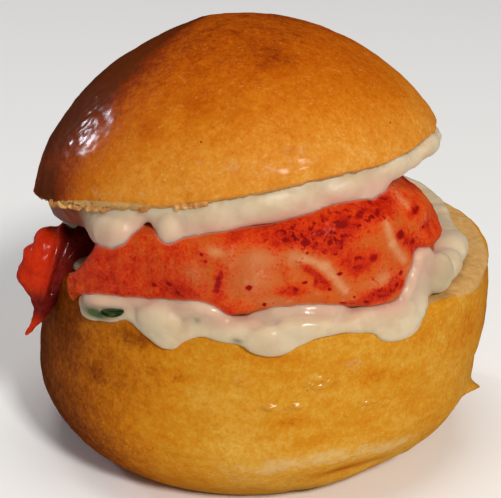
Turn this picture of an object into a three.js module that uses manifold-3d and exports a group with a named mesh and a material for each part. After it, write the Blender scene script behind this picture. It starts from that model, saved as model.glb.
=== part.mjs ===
// A lobster slider: a split brioche roll holding claw meat between two layers of mayonnaise.
// Millimetres, +Z up, +X to the right, and -Y towards the open front of the sandwich.
// The origin is the centre of the heel's flat base, on which the sandwich stands.
// Angles run round +Z in degrees: 0 is the right, 90 the back, 180 the left and 270 the front.
import * as THREE from "three";
import { mergeVertices } from "three/addons/utils/BufferGeometryUtils.js";
import Module from "manifold-3d";

const wasm = await Module();
wasm.setup();

// ---- Driving dimensions ----

const CLEARANCE = 0.3; // air kept between pieces that rest on each other

// The lower half of the roll. Its wall swells from the base to the widest height and draws in to the rim.
const HEEL = {
  height: 29.6, // to the cut face, over the middle of the base
  radius: 32.9,
  widestAt: 12.9,
  baseRadius: 23.8,
  flankPower: 1.05,
  rimInset: 1.1,
  rimRound: 0.9,
  lean: 3.4, // how far the rim lies to the right of the base
  cutSlope: 0.045, // rise of the cut face towards the back
  waves: [
    { turns: 2, share: 0.004, shift: 40 },
    { turns: 3, share: 0.006, shift: 20 },
    { turns: 5, share: 0.003, shift: 70 },
  ],
  dents: [
    { at: 347, wide: 14, high: 14, tall: 3.6, by: 0.6 },
    { at: 352, wide: 14, high: 29, tall: 2.6, by: 0.55 },
    { at: 15, wide: 18, high: 29, tall: 2.6, by: 0.4 },
    { at: 298, wide: 12, high: 6, tall: 1.4, by: 0.7 },
    { at: 198, wide: 24, high: 8, tall: 6, by: 0.35 },
  ],
  columns: 60,
};

// The upper half, in a frame of its own whose Z = 0 is the cut face.
const CROWN = {
  height: 19.9,
  radius: 29.3,
  shoulderPower: 1.95,
  domePower: 1.45,
  rimRound: 0.5,
  flats: [
    { at: 190, wide: 55, by: 1.1 },
    { at: 4, wide: 30, by: 0.5 },
  ], // flanks that bulge less
  sags: [
    { at: 252, wide: 56, by: 0.75 },
    { at: 314, wide: 12, by: 0.95 },
    { at: 342, wide: 8, by: 0.7 },
    { at: 191, wide: 17, by: 0.7 },
  ], // stretches of the rim that hang down
  slump: { at: 155, wide: 35, by: 0.8, round: 9, reach: 6 }, // a dip near the top, `round` from the middle
  waves: [
    { turns: 2, share: 0.004, shift: 100 },
    { turns: 3, share: 0.006, shift: 200 },
    { turns: 4, share: 0.003, shift: 10 },
  ],
  columns: 60,
  centre: new THREE.Vector3(-1.8, 0, 42.9),
  frontUp: 6.6, // degrees
  rightUp: 9, // degrees
};

// The mayonnaise on the heel. Its edge stands past the rim at the front, where it runs down the wall in drips,
// and stays inside the rim at the right.
const LOWER_CREAM = {
  thickness: 2.2,
  bead: 2.7, // height of the edge over the cut face
  reach: 0.8, // how far the edge stands past the rim
  drips: [
    { at: 219, wide: 7, deep: 2.9, out: 0.4 },
    { at: 245, wide: 7, deep: 3.1, out: 0.7 },
    { at: 270, wide: 7, deep: 2.6, out: 1 },
    { at: 302, wide: 9, deep: 2.6, out: 0.7 },
    { at: 118, wide: 14, deep: 1.6, out: 0.6 },
    { at: 160, wide: 12, deep: 1.3, out: 0.4 },
  ],
  swells: [
    { at: 240, wide: 12, high: 0.9 },
    { at: 285, wide: 16, high: 0.9 },
    { at: 311, wide: 6, high: 5 },
    { at: 335, wide: 14, high: 1.8 },
    { at: 8, wide: 10, high: 1.2 },
    { at: 215, wide: 14, high: 0.6 },
  ],
  bareSpans: [
    { at: 350, wide: 26, back: 4.2 },
    { at: 325, wide: 10, back: 1.8 },
    { at: 20, wide: 16, back: 1.6 },
  ],
  columns: 90,
};

// The mayonnaise under the crown, in the crown's frame. Its edge hangs from the cut face in scallops.
const UPPER_CREAM = {
  thickness: 2.6,
  bead: 2.4, // how far the edge hangs under the cut face
  reach: -0.8,
  drips: [],
  swells: [
    { at: 275, wide: 44, high: 2.4 },
    { at: 229, wide: 8, high: 2.6 },
    { at: 252, wide: 6, high: 1.9 },
    { at: 263, wide: 6, high: 0.6 },
    { at: 306, wide: 7, high: 2 },
    { at: 205, wide: 14, high: 1.8 },
    { at: 182, wide: 12, high: 0.9 },
    { at: 124, wide: 12, high: 1.1 },
    { at: 60, wide: 16, high: 1 },
  ],
  bareSpans: [
    { at: 190, wide: 26, back: 1.2 },
    { at: 345, wide: 24, back: -1.5 },
  ],
  columns: 60,
};

// The claw meat, from the point at the left to the blunt end at the right. Each station gives its place along X,
// where the section is thickest (crest, as y and z), half its height there, and its reach to the front and the back.
const CLAW = {
  stations: [
    { at: -24.6, crest: [-19.4, 29.75], half: 0.95, front: 1.2, back: 2 },
    { at: -23.4, crest: [-19.6, 30.25], half: 1.45, front: 1.9, back: 3.5 },
    { at: -21.9, crest: [-20, 31.3], half: 2.4, front: 2.7, back: 6 },
    { at: -20.3, crest: [-20.4, 32.6], half: 3.7, front: 3.4, back: 10 },
    { at: -18, crest: [-20.9, 34.1], half: 4.9, front: 4.2, back: 16 },
    { at: -14.5, crest: [-21.6, 35.1], half: 5.4, front: 5.4, back: 24 },
    { at: -6.6, crest: [-24, 35.6], half: 5.6, front: 6.7, back: 37 },
    { at: 2.3, crest: [-24.2, 36.2], half: 6.3, front: 7.4, back: 43 },
    { at: 11.2, crest: [-23, 37.1], half: 7.5, front: 8, back: 43 },
    { at: 20.1, crest: [-18.6, 36.9], half: 8.8, front: 8.8, back: 36 },
    { at: 25.3, crest: [-14, 36.2], half: 8, front: 9, back: 22 },
  ],
  lumps: [
    { middle: [-1.6, 30.6], half: [2.6, 2], by: 1.4 },
    { middle: [18, 30.8], half: [4, 2.2], by: 1.8 },
    { middle: [24, 37.5], half: [2.6, 4], by: 0.6 },
  ], // swellings on the front face, at x and z
  fringe: { at: 25.4, high: 37.2, wide: 3, tall: 1.3, by: 1.1 }, // a corner that reaches further right
  nosePower: 3.5,
  tailPower: 2.1,
  endPower: 4.6, // fullness of the blunt right end
  tipRound: 1,
  sink: 4, // how far the back edge lies under the crest
  rings: 34,
  columns: 40,
};

// The knuckle meat that hangs over the rim at the left and ends in a hook.
const KNUCKLE = {
  path: [
    [-13, -3, 32.2],
    [-21, -7, 31.6],
    [-26.5, -9.6, 30],
    [-28.4, -11.2, 27.3],
    [-28.7, -12.5, 24.9],
    [-29.3, -13.1, 22.9],
    [-31.4, -13.2, 19.9],
  ],
  radii: [3.2, 3.9, 4.9, 4.1, 2.2, 1.3, 0.8],
  flatness: 0.72,
  rings: 30,
  columns: 18,
};

const COLOURS = {
  crust: { color: 0xc4762a, roughness: 0.45 },
  heelCrust: { color: 0xcf8e3a, roughness: 0.5 },
  cream: { color: 0xe9dcc0, roughness: 0.25 },
  claw: { color: 0xd2491c, roughness: 0.35 },
  knuckle: { color: 0xb12d0c, roughness: 0.3 },
};

// ---- Shared shapes ----

const turn = (degrees) => THREE.MathUtils.degToRad(degrees);

// A bump of height 1 round the angle `at`, down to a third at `wide` degrees to either side.
function bell(angle, at, wide) {
  const off = THREE.MathUtils.euclideanModulo(angle - at + 180, 360) - 180;
  return Math.exp(-((off / wide) ** 2));
}

// The sum of a list of bumps at an angle, each scaled by its own value named `key`.
function bumps(list, angle, key) {
  return list.reduce((sum, bump) => sum + bump[key] * bell(angle, bump.at, bump.wide), 0);
}

// A swelling of height 1 at the middle of a patch on a flat face, down to a third at its half width and half height.
const patch = (x, z, [middleX, middleZ], [wide, tall]) =>
  Math.exp(-(((x - middleX) / wide) ** 2) - ((z - middleZ) / tall) ** 2);

// How much longer or shorter the radius is at an angle, for an outline that isn't quite round.
function unevenness(waves, angle) {
  return waves.reduce((sum, wave) => sum + wave.share * Math.cos(turn(wave.turns * angle + wave.shift)), 1);
}

// cos or sin of an angle, flattened so that a section has the fullness of a superellipse.
const fuller = (value, power) => Math.sign(value) * Math.abs(value) ** (2 / power);

// A closed body round Z whose half section changes with the angle. `section` gives its points as
// Vector2(radius, height), from the axis at the bottom outwards and back to the axis at the top.
function turnedBody(section, columns) {
  const geometry = new THREE.LatheGeometry(section(0), columns);
  const place = geometry.attributes.position;
  const rows = section(0).length;
  for (let column = 0; column <= columns; column++) {
    const angle = (360 * (column % columns)) / columns;
    section(angle).forEach(({ x: radius, y: height }, row) => {
      place.setXYZ(column * rows + row, radius * Math.cos(turn(angle)), radius * Math.sin(turn(angle)), height);
    });
  }
  return geometry;
}

// A closed body along X or a path: a unit sphere with its poles on the run, each vertex moved by `point`,
// which gets how far along the vertex is, from 0 to 1, its angle round the run, and the ring's size at the ends.
function strungBody(point, rings, columns) {
  const geometry = new THREE.SphereGeometry(1, columns, rings);
  const place = geometry.attributes.position;
  for (let i = 0; i < place.count; i++) {
    const ring = Math.floor(i / (columns + 1));
    const column = i % (columns + 1);
    const slope = (Math.PI * ring) / rings;
    const round = turn((-360 * (column % columns)) / columns);
    const size = ring === 0 || ring === rings ? 0 : Math.sin(slope);
    const made = point((1 - Math.cos(slope)) / 2, round, size);
    place.setXYZ(i, made.x, made.y, made.z);
  }
  return geometry;
}

// ---- Solids ----

function solidOf(geometry) {
  const bare = geometry.clone();
  bare.deleteAttribute("normal");
  bare.deleteAttribute("uv");
  const merged = mergeVertices(bare, 1e-4);
  const solid = new wasm.Manifold(
    new wasm.Mesh({
      numProp: 3,
      vertProperties: merged.attributes.position.array,
      triVerts: new Uint32Array(merged.index.array),
    }),
  );
  return solid;
}

function geometryOf(solid) {
  const mesh = solid.getMesh();
  const place = new Float32Array(mesh.numVert * 3);
  for (let i = 0; i < mesh.numVert; i++) {
    place.set(mesh.vertProperties.subarray(i * mesh.numProp, i * mesh.numProp + 3), i * 3);
  }
  const geometry = new THREE.BufferGeometry();
  geometry.setAttribute("position", new THREE.BufferAttribute(place, 3));
  geometry.setIndex(new THREE.BufferAttribute(new Uint32Array(mesh.triVerts), 1));
  geometry.computeVertexNormals();
  return geometry;
}

// `geometry` with every cutter taken away. Crumbs that the cuts leave behind are dropped.
function carve(geometry, cutters) {
  const cut = cutters.reduce((solid, cutter) => solid.subtract(solidOf(cutter)), solidOf(geometry));
  const largest = cut.decompose().reduce((a, b) => (a.volume() > b.volume() ? a : b));
  return geometryOf(largest);
}

// ---- The roll ----

// The wall's radius at an angle and a height over the base.
function heelRadius(angle, height) {
  const { radius, widestAt, baseRadius, flankPower, rimInset } = HEEL;
  const below = Math.max(0, 1 - height / widestAt);
  const above = Math.max(0, (height - widestAt) / (HEEL.height - widestAt));
  const flank = (1 - below ** 2) ** (1 / flankPower);
  const wall = baseRadius + (radius - baseRadius) * flank - rimInset * above ** 2;
  const dented = HEEL.dents.reduce(
    (sum, { at, wide, high, tall, by }) => sum + by * bell(angle, at, wide) * Math.exp(-(((height - high) / tall) ** 2)),
    0,
  );
  return wall * unevenness(HEEL.waves, angle) - dented;
}

// The heel, or with `grow` the same form that much larger all round.
function heelBody(grow = 0) {
  const flankSteps = 9;
  const wallSteps = 3;
  const { height, widestAt, rimRound, lean, cutSlope, columns } = HEEL;
  const geometry = turnedBody((angle) => {
    const points = [new THREE.Vector2(0, -grow)];
    for (let i = 0; i <= flankSteps; i++) {
      const z = widestAt * (1 - Math.cos(turn((90 * i) / flankSteps)));
      points.push(new THREE.Vector2(heelRadius(angle, z) + grow, i === 0 ? -grow : z));
    }
    for (let i = 1; i <= wallSteps; i++) {
      const z = widestAt + ((height - rimRound - widestAt) * i) / wallSteps;
      points.push(new THREE.Vector2(heelRadius(angle, z) + grow, z));
    }
    const rim = heelRadius(angle, height);
    points.push(new THREE.Vector2(rim - rimRound * 0.3 + grow, height - rimRound * 0.3 + grow));
    points.push(new THREE.Vector2(rim - rimRound + grow, height + grow));
    points.push(new THREE.Vector2(rim / 2, height + grow));
    points.push(new THREE.Vector2(0, height + grow));
    return points;
  }, columns);
  const place = geometry.attributes.position;
  for (let i = 0; i < place.count; i++) {
    const up = Math.max(0, place.getZ(i)) / height;
    place.setX(i, place.getX(i) + up * lean);
    place.setZ(i, place.getZ(i) + up * cutSlope * place.getY(i));
  }
  return geometry;
}

// The crown's rim radius at an angle.
const crownRim = (angle) => CROWN.radius * unevenness(CROWN.waves, angle);

function crownBody(grow = 0) {
  const domeSteps = 12;
  const { height, rimRound, shoulderPower, domePower, flats, sags, slump, columns } = CROWN;
  return turnedBody((angle) => {
    const rim = crownRim(angle);
    const sag = bumps(sags, angle, "by");
    const points = [
      new THREE.Vector2(0, -grow),
      new THREE.Vector2(rim / 2, -grow),
      new THREE.Vector2(0.85 * rim, -grow - 0.15 * sag),
      new THREE.Vector2(rim - rimRound + grow, -grow - sag),
    ];
    for (let i = 0; i < domeSteps; i++) {
      const slope = turn((90 * i) / domeSteps);
      const flat = bumps(flats, angle, "by") * Math.sin(2 * slope);
      const out = rim * fuller(Math.cos(slope), shoulderPower) - flat;
      const up = rimRound + (height - rimRound) * fuller(Math.sin(slope), domePower);
      const hung = sag * Math.max(0, 1 - up / 9) ** 2;
      const near = Math.exp(-(((out - slump.round) / slump.reach) ** 2)) * Math.min(1, Math.max(0, out / 3));
      points.push(new THREE.Vector2(out + grow, up - hung - slump.by * bell(angle, slump.at, slump.wide) * near));
    }
    points.push(new THREE.Vector2(0, height + grow));
    return points;
  }, columns);
}

// The frame that the crown and the mayonnaise under it are laid in.
const crownPlace = new THREE.Matrix4().compose(
  CROWN.centre,
  new THREE.Quaternion().setFromEuler(new THREE.Euler(turn(-CROWN.frontUp), turn(-CROWN.rightUp), 0, "XYZ")),
  new THREE.Vector3(1, 1, 1),
);

// ---- The lobster meat ----

// The sizes at a place along the claw, each following a smooth curve through the stations'.
function clawStation(x) {
  const { stations } = CLAW;
  const last = stations.length - 1;
  const sizes = ({ crest, half, front, back }) => [...crest, half, front, back];
  // How fast a size changes at a station, from the slopes on either side of it.
  const slope = (k, size) => {
    const rise = (i) => (sizes(stations[i + 1])[size] - sizes(stations[i])[size]) / (stations[i + 1].at - stations[i].at);
    if (k === 0) return rise(0);
    if (k === last) return rise(last - 1);
    const before = stations[k].at - stations[k - 1].at;
    const after = stations[k + 1].at - stations[k].at;
    return (after * rise(k - 1) + before * rise(k)) / (before + after);
  };
  const next = Math.max(1, stations.findIndex((station) => x <= station.at));
  const k = x >= stations[last].at ? last - 1 : next - 1;
  const run = stations[k + 1].at - stations[k].at;
  const t = THREE.MathUtils.clamp((x - stations[k].at) / run, 0, 1);
  const eased = t * t * (3 - 2 * t);
  const [crestY, crestZ, half, front, back] = sizes(stations[k]).map((from, size) => {
    const to = sizes(stations[k + 1])[size];
    const bent = (t ** 3 - 2 * t ** 2 + t) * slope(k, size) + (t ** 3 - t ** 2) * slope(k + 1, size);
    return from + (to - from) * eased + run * bent;
  });
  return { crestY, crestZ, half, front, back };
}

// A section is a blunt nose in front of the crest and a long tail behind it.
function clawBody(grow = 0) {
  const { stations, lumps, fringe, nosePower, tailPower, endPower, tipRound, sink, rings, columns } = CLAW;
  const from = stations[0].at - grow;
  const to = stations[stations.length - 1].at + grow;
  return strungBody((along, round, size) => {
    const x = THREE.MathUtils.lerp(from, to, along);
    const { crestY, crestZ, half, front, back } = clawStation(x);
    const inTail = Math.cos(round) > 0;
    const power = inTail ? tailPower : nosePower;
    const tip = Math.sqrt(1 - (1 - Math.min(1, (x - from) / tipRound)) ** 2);
    const closed = along < 0.5 ? tip : fuller(size, endPower);
    const out = fuller(Math.cos(round), power);
    const up = fuller(Math.sin(round), power);
    const y = crestY + closed * out * ((inTail ? back : front) + grow);
    const z = crestZ + closed * (up * (half + grow) - (inTail ? sink * out : 0));
    const facing = THREE.MathUtils.smoothstep(-y, -2, 8) * (closed > 0 ? 1 : 0);
    const swollen = lumps.reduce((sum, { middle, half: wide, by }) => sum + by * patch(x, z, middle, wide), 0);
    const reach = fringe.by * patch(x, z, [fringe.at, fringe.high], [fringe.wide, fringe.tall]);
    return new THREE.Vector3(x + reach, y - swollen * facing, z);
  }, rings, columns);
}

function knuckleBody(grow = 0) {
  const path = new THREE.CatmullRomCurve3(KNUCKLE.path.map((p) => new THREE.Vector3(...p)));
  const radii = new THREE.CatmullRomCurve3(KNUCKLE.radii.map((r) => new THREE.Vector3(r, 0, 0)));
  const { flatness, rings, columns } = KNUCKLE;
  const side = new THREE.Vector3(0.5, -0.86, 0);
  return strungBody((along, round, size) => {
    const middle = path.getPoint(along);
    const forward = path.getTangent(along);
    const across = new THREE.Vector3().crossVectors(side, forward).normalize();
    const out = new THREE.Vector3().crossVectors(forward, across);
    const radius = radii.getPoint(along).x + grow;
    return middle
      .addScaledVector(across, Math.cos(round) * size * radius)
      .addScaledVector(out, Math.sin(round) * size * radius * flatness);
  }, rings, columns);
}

// ---- The mayonnaise ----

// The half section of a layer: a disc with a rounded bead at its edge. `rim` gives the roll's radius at an angle.
// Heights count from the cut face, and the bead dips to the other side of it by each drip's depth, for the roll to be
// cut out of it.
function layerSection(layer, rim, angle, grow) {
  const sunk = 1.2;
  const { drips, swells, bareSpans } = layer;
  const edge = rim(angle) + layer.reach + bumps(drips, angle, "out") - bumps(bareSpans, angle, "back") + grow;
  const low = -bumps(drips, angle, "deep") - 0.4 - grow;
  const high = layer.bead + bumps(swells, angle, "high") + grow;
  const thickness = layer.thickness + grow;
  const round = Math.min(1.8, (high - low) / 2);
  const points = [[0, -sunk], [edge - 5, -sunk], [edge - round - 0.6, low]];
  for (const slope of [-60, -25, 10]) {
    points.push([edge - round + round * Math.cos(turn(slope)), low + round + round * Math.sin(turn(slope))]);
  }
  for (const slope of [10, 45, 80]) {
    points.push([edge - round + round * Math.cos(turn(slope)), high - round + round * Math.sin(turn(slope))]);
  }
  points.push([edge - 5, (high + thickness) / 2], [edge - 8, thickness], [0, thickness]);
  return points.map(([out, up]) => new THREE.Vector2(out, up));
}

function lowerCreamBody(grow = 0) {
  const { height, lean, cutSlope } = HEEL;
  const rim = (angle) => heelRadius(angle, height);
  const layer = turnedBody((angle) => layerSection(LOWER_CREAM, rim, angle, grow), LOWER_CREAM.columns);
  return layer.rotateX(Math.atan(cutSlope)).translate(lean, 0, height);
}

// The upper layer hangs, so its heights count down.
function upperCreamBody(grow = 0) {
  const hung = (angle) => {
    const points = layerSection(UPPER_CREAM, crownRim, angle, grow);
    return points.reverse().map((point) => new THREE.Vector2(point.x, -point.y));
  };
  return turnedBody(hung, UPPER_CREAM.columns).applyMatrix4(crownPlace);
}

// ---- The sandwich ----

function piece(name, geometry, look) {
  const mesh = new THREE.Mesh(geometry, new THREE.MeshStandardMaterial({ ...look, metalness: 0 }));
  mesh.name = name;
  return mesh;
}

const heelRoom = heelBody(CLEARANCE);
const crownRoom = crownBody(CLEARANCE).applyMatrix4(crownPlace);
const clawRoom = clawBody(CLEARANCE);
const knuckleRoom = knuckleBody(CLEARANCE);
const lowerCreamRoom = lowerCreamBody(CLEARANCE);

const claw = carve(clawBody(), [heelRoom, crownRoom]);
const knuckle = carve(knuckleBody(), [heelRoom, crownRoom, clawRoom]);
const lowerCream = carve(lowerCreamBody(), [heelRoom, clawRoom, knuckleRoom]);
const upperCream = carve(upperCreamBody(), [crownRoom, clawRoom, knuckleRoom, lowerCreamRoom]);

const slider = new THREE.Group();
slider.add(piece("heel", heelBody(), COLOURS.heelCrust));
slider.add(piece("cream_base", lowerCream, COLOURS.cream));
slider.add(piece("lobster_claw", claw, COLOURS.claw));
slider.add(piece("lobster_knuckle", knuckle, COLOURS.knuckle));
slider.add(piece("cream_top", upperCream, COLOURS.cream));

const crownFrame = new THREE.Group();
crownFrame.applyMatrix4(crownPlace);
crownFrame.add(piece("crown", crownBody(), COLOURS.crust));
slider.add(crownFrame);

export default slider;
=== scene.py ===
"""A lobster slider: a split golden roll with lobster claw meat between two layers of mayonnaise.

Sizes are in millimetres and angles in degrees until a mesh is made; Blender holds metres. Angles run round
+Z: 0 is the right of the sandwich, 90 its back, 180 its left and 270 its open front. The heel's underside is
at Z = 0.
"""

from __future__ import annotations

import logging
import math
from dataclasses import dataclass, field
from enum import Enum
from typing import Sequence

import bmesh
import bpy
import numpy as np
from mathutils import Matrix, Vector
from mathutils.bvhtree import BVHTree

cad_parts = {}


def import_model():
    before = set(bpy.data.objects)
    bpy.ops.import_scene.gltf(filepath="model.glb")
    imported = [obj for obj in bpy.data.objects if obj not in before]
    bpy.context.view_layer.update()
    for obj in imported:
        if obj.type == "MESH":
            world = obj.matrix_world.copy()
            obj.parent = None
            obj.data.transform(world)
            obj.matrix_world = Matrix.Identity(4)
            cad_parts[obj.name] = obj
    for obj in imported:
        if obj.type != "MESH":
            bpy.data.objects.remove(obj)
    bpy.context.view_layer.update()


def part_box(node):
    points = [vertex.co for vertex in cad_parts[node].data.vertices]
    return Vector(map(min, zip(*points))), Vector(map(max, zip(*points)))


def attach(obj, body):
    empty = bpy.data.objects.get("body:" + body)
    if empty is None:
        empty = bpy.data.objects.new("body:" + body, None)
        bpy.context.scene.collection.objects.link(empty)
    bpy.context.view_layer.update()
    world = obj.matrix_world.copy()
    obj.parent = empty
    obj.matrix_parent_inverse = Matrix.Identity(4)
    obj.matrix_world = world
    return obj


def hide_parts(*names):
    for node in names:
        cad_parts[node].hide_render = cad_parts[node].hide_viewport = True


MM = 0.001
BODY = "root"
LOG = logging.getLogger("slider")

Array = np.ndarray
Material = bpy.types.Material
Object = bpy.types.Object
Socket = bpy.types.NodeSocket
Triple = tuple[float, float, float]
Colour = Triple
Bump = Triple  # an angle round a piece, a width in degrees, and how much


def rgb(red: int, green: int, blue: int) -> Colour:
    """A colour given as it shows on a screen, 0 to 255, in Blender's linear values."""
    levels = (red, green, blue)
    return tuple(((c / 255 + 0.055) / 1.055) ** 2.4 if c > 10 else c / 255 / 12.92 for c in levels)


# ---- Node graphs ----


class Value:
    """A number socket in a node graph, with arithmetic written as Python expressions."""

    def __init__(self, graph: Graph, socket: Socket) -> None:
        """Wraps a socket of a graph."""
        self.graph = graph
        self.socket = socket

    def _maths(self, operation: str, *terms: Value | float, clamp: bool = False) -> Value:
        """The result of a Math node on the terms."""
        settings = {"operation": operation, "use_clamp": clamp}
        return self.graph.value("ShaderNodeMath", settings, dict(enumerate(terms)))

    def __add__(self, other: Value | float) -> Value:
        """self + other."""
        return self._maths("ADD", self, other)

    __radd__ = __add__

    def __sub__(self, other: Value | float) -> Value:
        """self - other."""
        return self._maths("SUBTRACT", self, other)

    def __rsub__(self, other: float) -> Value:
        """other - self."""
        return self._maths("SUBTRACT", other, self)

    def __mul__(self, other: Value | float) -> Value:
        """self * other."""
        return self._maths("MULTIPLY", self, other)

    __rmul__ = __mul__

    def __rtruediv__(self, other: float) -> Value:
        """other / self."""
        return self._maths("DIVIDE", other, self)

    def held(self) -> Value:
        """self, kept between 0 and 1."""
        return self._maths("ADD", self, 0.0, clamp=True)

    def step(self, low: float, high: float) -> Value:
        """A smooth rise.

        Args:
            low: up to where it is 0.
            high: from where it is 1. It lies under low for a fall.

        Returns:
            The rise, from 0 to 1.
        """
        ends = (low, high, 0.0, 1.0) if low < high else (high, low, 1.0, 0.0)
        sockets = {"Value": self} | dict(zip(("From Min", "From Max", "To Min", "To Max"), ends))
        settings = {"interpolation_type": "SMOOTHSTEP", "clamp": True}
        return self.graph.value("ShaderNodeMapRange", settings, sockets, "Result")


class Graph:
    """A node tree under construction, for a material, the world or Geometry Nodes."""

    WANDER = 0.3  # how much a rough pattern is twisted
    GAIN = 3.2  # what widens noise about its middle, which seldom comes near 0 or 1, to about -1 to 1

    def __init__(self, tree: bpy.types.NodeTree) -> None:
        """Takes an empty tree."""
        self.tree = tree
        self.place: Socket | None = None

    def node(self, kind: str, settings: dict | None = None, sockets: dict | None = None) -> bpy.types.Node:
        """Adds a node.

        Args:
            kind: the node's type.
            settings: its own settings, set first. "stops" gives a colour ramp's (position, colour) pairs.
            sockets: input name or number to a constant, a Value or a socket to link.

        Returns:
            The new node.
        """
        made = self.tree.nodes.new(kind)
        for name, value in (settings or {}).items():
            if name == "stops":
                self._set_stops(made.color_ramp, value)
            else:
                setattr(made, name, value)
        for name, value in (sockets or {}).items():
            self.feed(made.inputs[name], value)
        return made

    def value(self, kind: str, settings: dict | None, sockets: dict | None, output: int | str = 0) -> Value:
        """Adds a node and gives one of its outputs as a Value."""
        return Value(self, self.node(kind, settings, sockets).outputs[output])

    def vector(self, operation: str, sockets: dict) -> Socket:
        """Adds a Vector Math node and gives its vector."""
        return self.node("ShaderNodeVectorMath", {"operation": operation}, sockets).outputs["Vector"]

    def feed(self, target: Socket, value: object) -> None:
        """Links or sets an input.

        Args:
            target: the input.
            value: a Value or a socket to link, or a constant.
        """
        if isinstance(value, Value):
            value = value.socket
        if isinstance(value, Socket):
            self.tree.links.new(value, target)
        elif isinstance(value, tuple) and target.type == "RGBA":
            target.default_value = (*value, 1.0)
        else:
            target.default_value = value

    @staticmethod
    def _set_stops(ramp: bpy.types.ColorRamp, stops: Sequence[tuple[float, Colour]]) -> None:
        """Gives a colour ramp its stops.

        Args:
            ramp: the ramp.
            stops: its (position, colour) pairs, in order.
        """
        while len(ramp.elements) < len(stops):
            ramp.elements.new(1.0)
        for element, (position, colour) in zip(ramp.elements, stops):
            element.position = position
            element.color = (*colour, 1.0)

    def scaled(self, vector: object, by: Value | float) -> Socket:
        """A vector times a number."""
        return self.vector("SCALE", {0: vector, "Scale": by})

    def stretched(self, along: object) -> Socket:
        """The place with each axis scaled; a pattern on it is drawn out where the scale is under 1."""
        return self.vector("MULTIPLY", {0: self.place, 1: along})

    def noise(self, size: float, detail: float = 2.0, roughness: float = 0.5, wander: float = 0.0,
              at: Socket | None = None) -> Value:
        """Soft noise from 0 to 1 with features of a size in millimetres.

        Args:
            size: the distance over which it changes.
            detail: how many finer octaves are added.
            roughness: how strong the finer octaves are.
            wander: how much the pattern is twisted.
            at: another place to read it at.

        Returns:
            The noise.
        """
        sockets = {"Vector": at or self.place, "Scale": 1.0 / size, "Detail": detail, "Roughness": roughness,
                   "Distortion": wander}
        return self.value("ShaderNodeTexNoise", None, sockets)

    def rough(self, size: float, detail: float = 2.0, roughness: float = 0.55,
              at: Socket | None = None) -> Value:
        """Noise from about -1 to 1 with features of a size in millimetres."""
        return (self.noise(size, detail, roughness, self.WANDER, at) - 0.5) * self.GAIN

    def cells(self, size: float, feature: str = "F1") -> Value:
        """How far it is to the nearest middle of cells of a size in millimetres, counted in cell sizes."""
        sockets = {"Vector": self.place, "Scale": 1.0 / size}
        return self.value("ShaderNodeTexVoronoi", {"feature": feature}, sockets, "Distance")


class Coat(Graph):
    """A material: a graph that reads Object coordinates and ends in one Principled surface."""

    def __init__(self, name: str) -> None:
        """Starts an empty material whose place is in millimetres.

        Args:
            name: the material's name.
        """
        self.material = bpy.data.materials.new(name)
        self.material.use_nodes = True
        self.material.node_tree.nodes.clear()
        super().__init__(self.material.node_tree)
        self.place = self.scaled(self.node("ShaderNodeTexCoord").outputs["Object"], 1 / MM)

    def painted(self, name: str) -> Value:
        """A number painted on the mesh's points under a name."""
        settings = {"attribute_type": "GEOMETRY", "attribute_name": name}
        return self.value("ShaderNodeAttribute", settings, None, "Fac")

    def blend(self, share: Value | float, under: object, over: object) -> Socket:
        """The colour that is `under` where share is 0 and `over` where it is 1."""
        sockets = {0: share, 6: under, 7: over}  # the numbers of the colour mix's own sockets
        return self.node("ShaderNodeMix", {"data_type": "RGBA"}, sockets).outputs[2]

    def ramp(self, share: Value, stops: Sequence[tuple[float, Colour]]) -> Socket:
        """A colour read from stops along 0 to 1."""
        return self.node("ShaderNodeValToRGB", {"stops": stops}, {"Fac": share}).outputs["Color"]

    def bump(self, height: Value, depth: float) -> Socket:
        """A bumped normal; depth is the height of a full step, in millimetres."""
        sockets = {"Height": height, "Distance": depth * MM, "Strength": 1.0}
        return self.node("ShaderNodeBump", None, sockets).outputs["Normal"]

    def finish(self, **sockets: object) -> Material:
        """Ends the material in a Principled surface.

        Args:
            **sockets: the surface's inputs, written with _ for a space.

        Returns:
            The material.
        """
        named = {name.replace("_", " "): value for name, value in sockets.items()}
        surface = self.node("ShaderNodeBsdfPrincipled", {"subsurface_method": "RANDOM_WALK"}, named)
        output = self.node("ShaderNodeOutputMaterial")
        self.tree.links.new(surface.outputs[0], output.inputs["Surface"])
        return self.material


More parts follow.
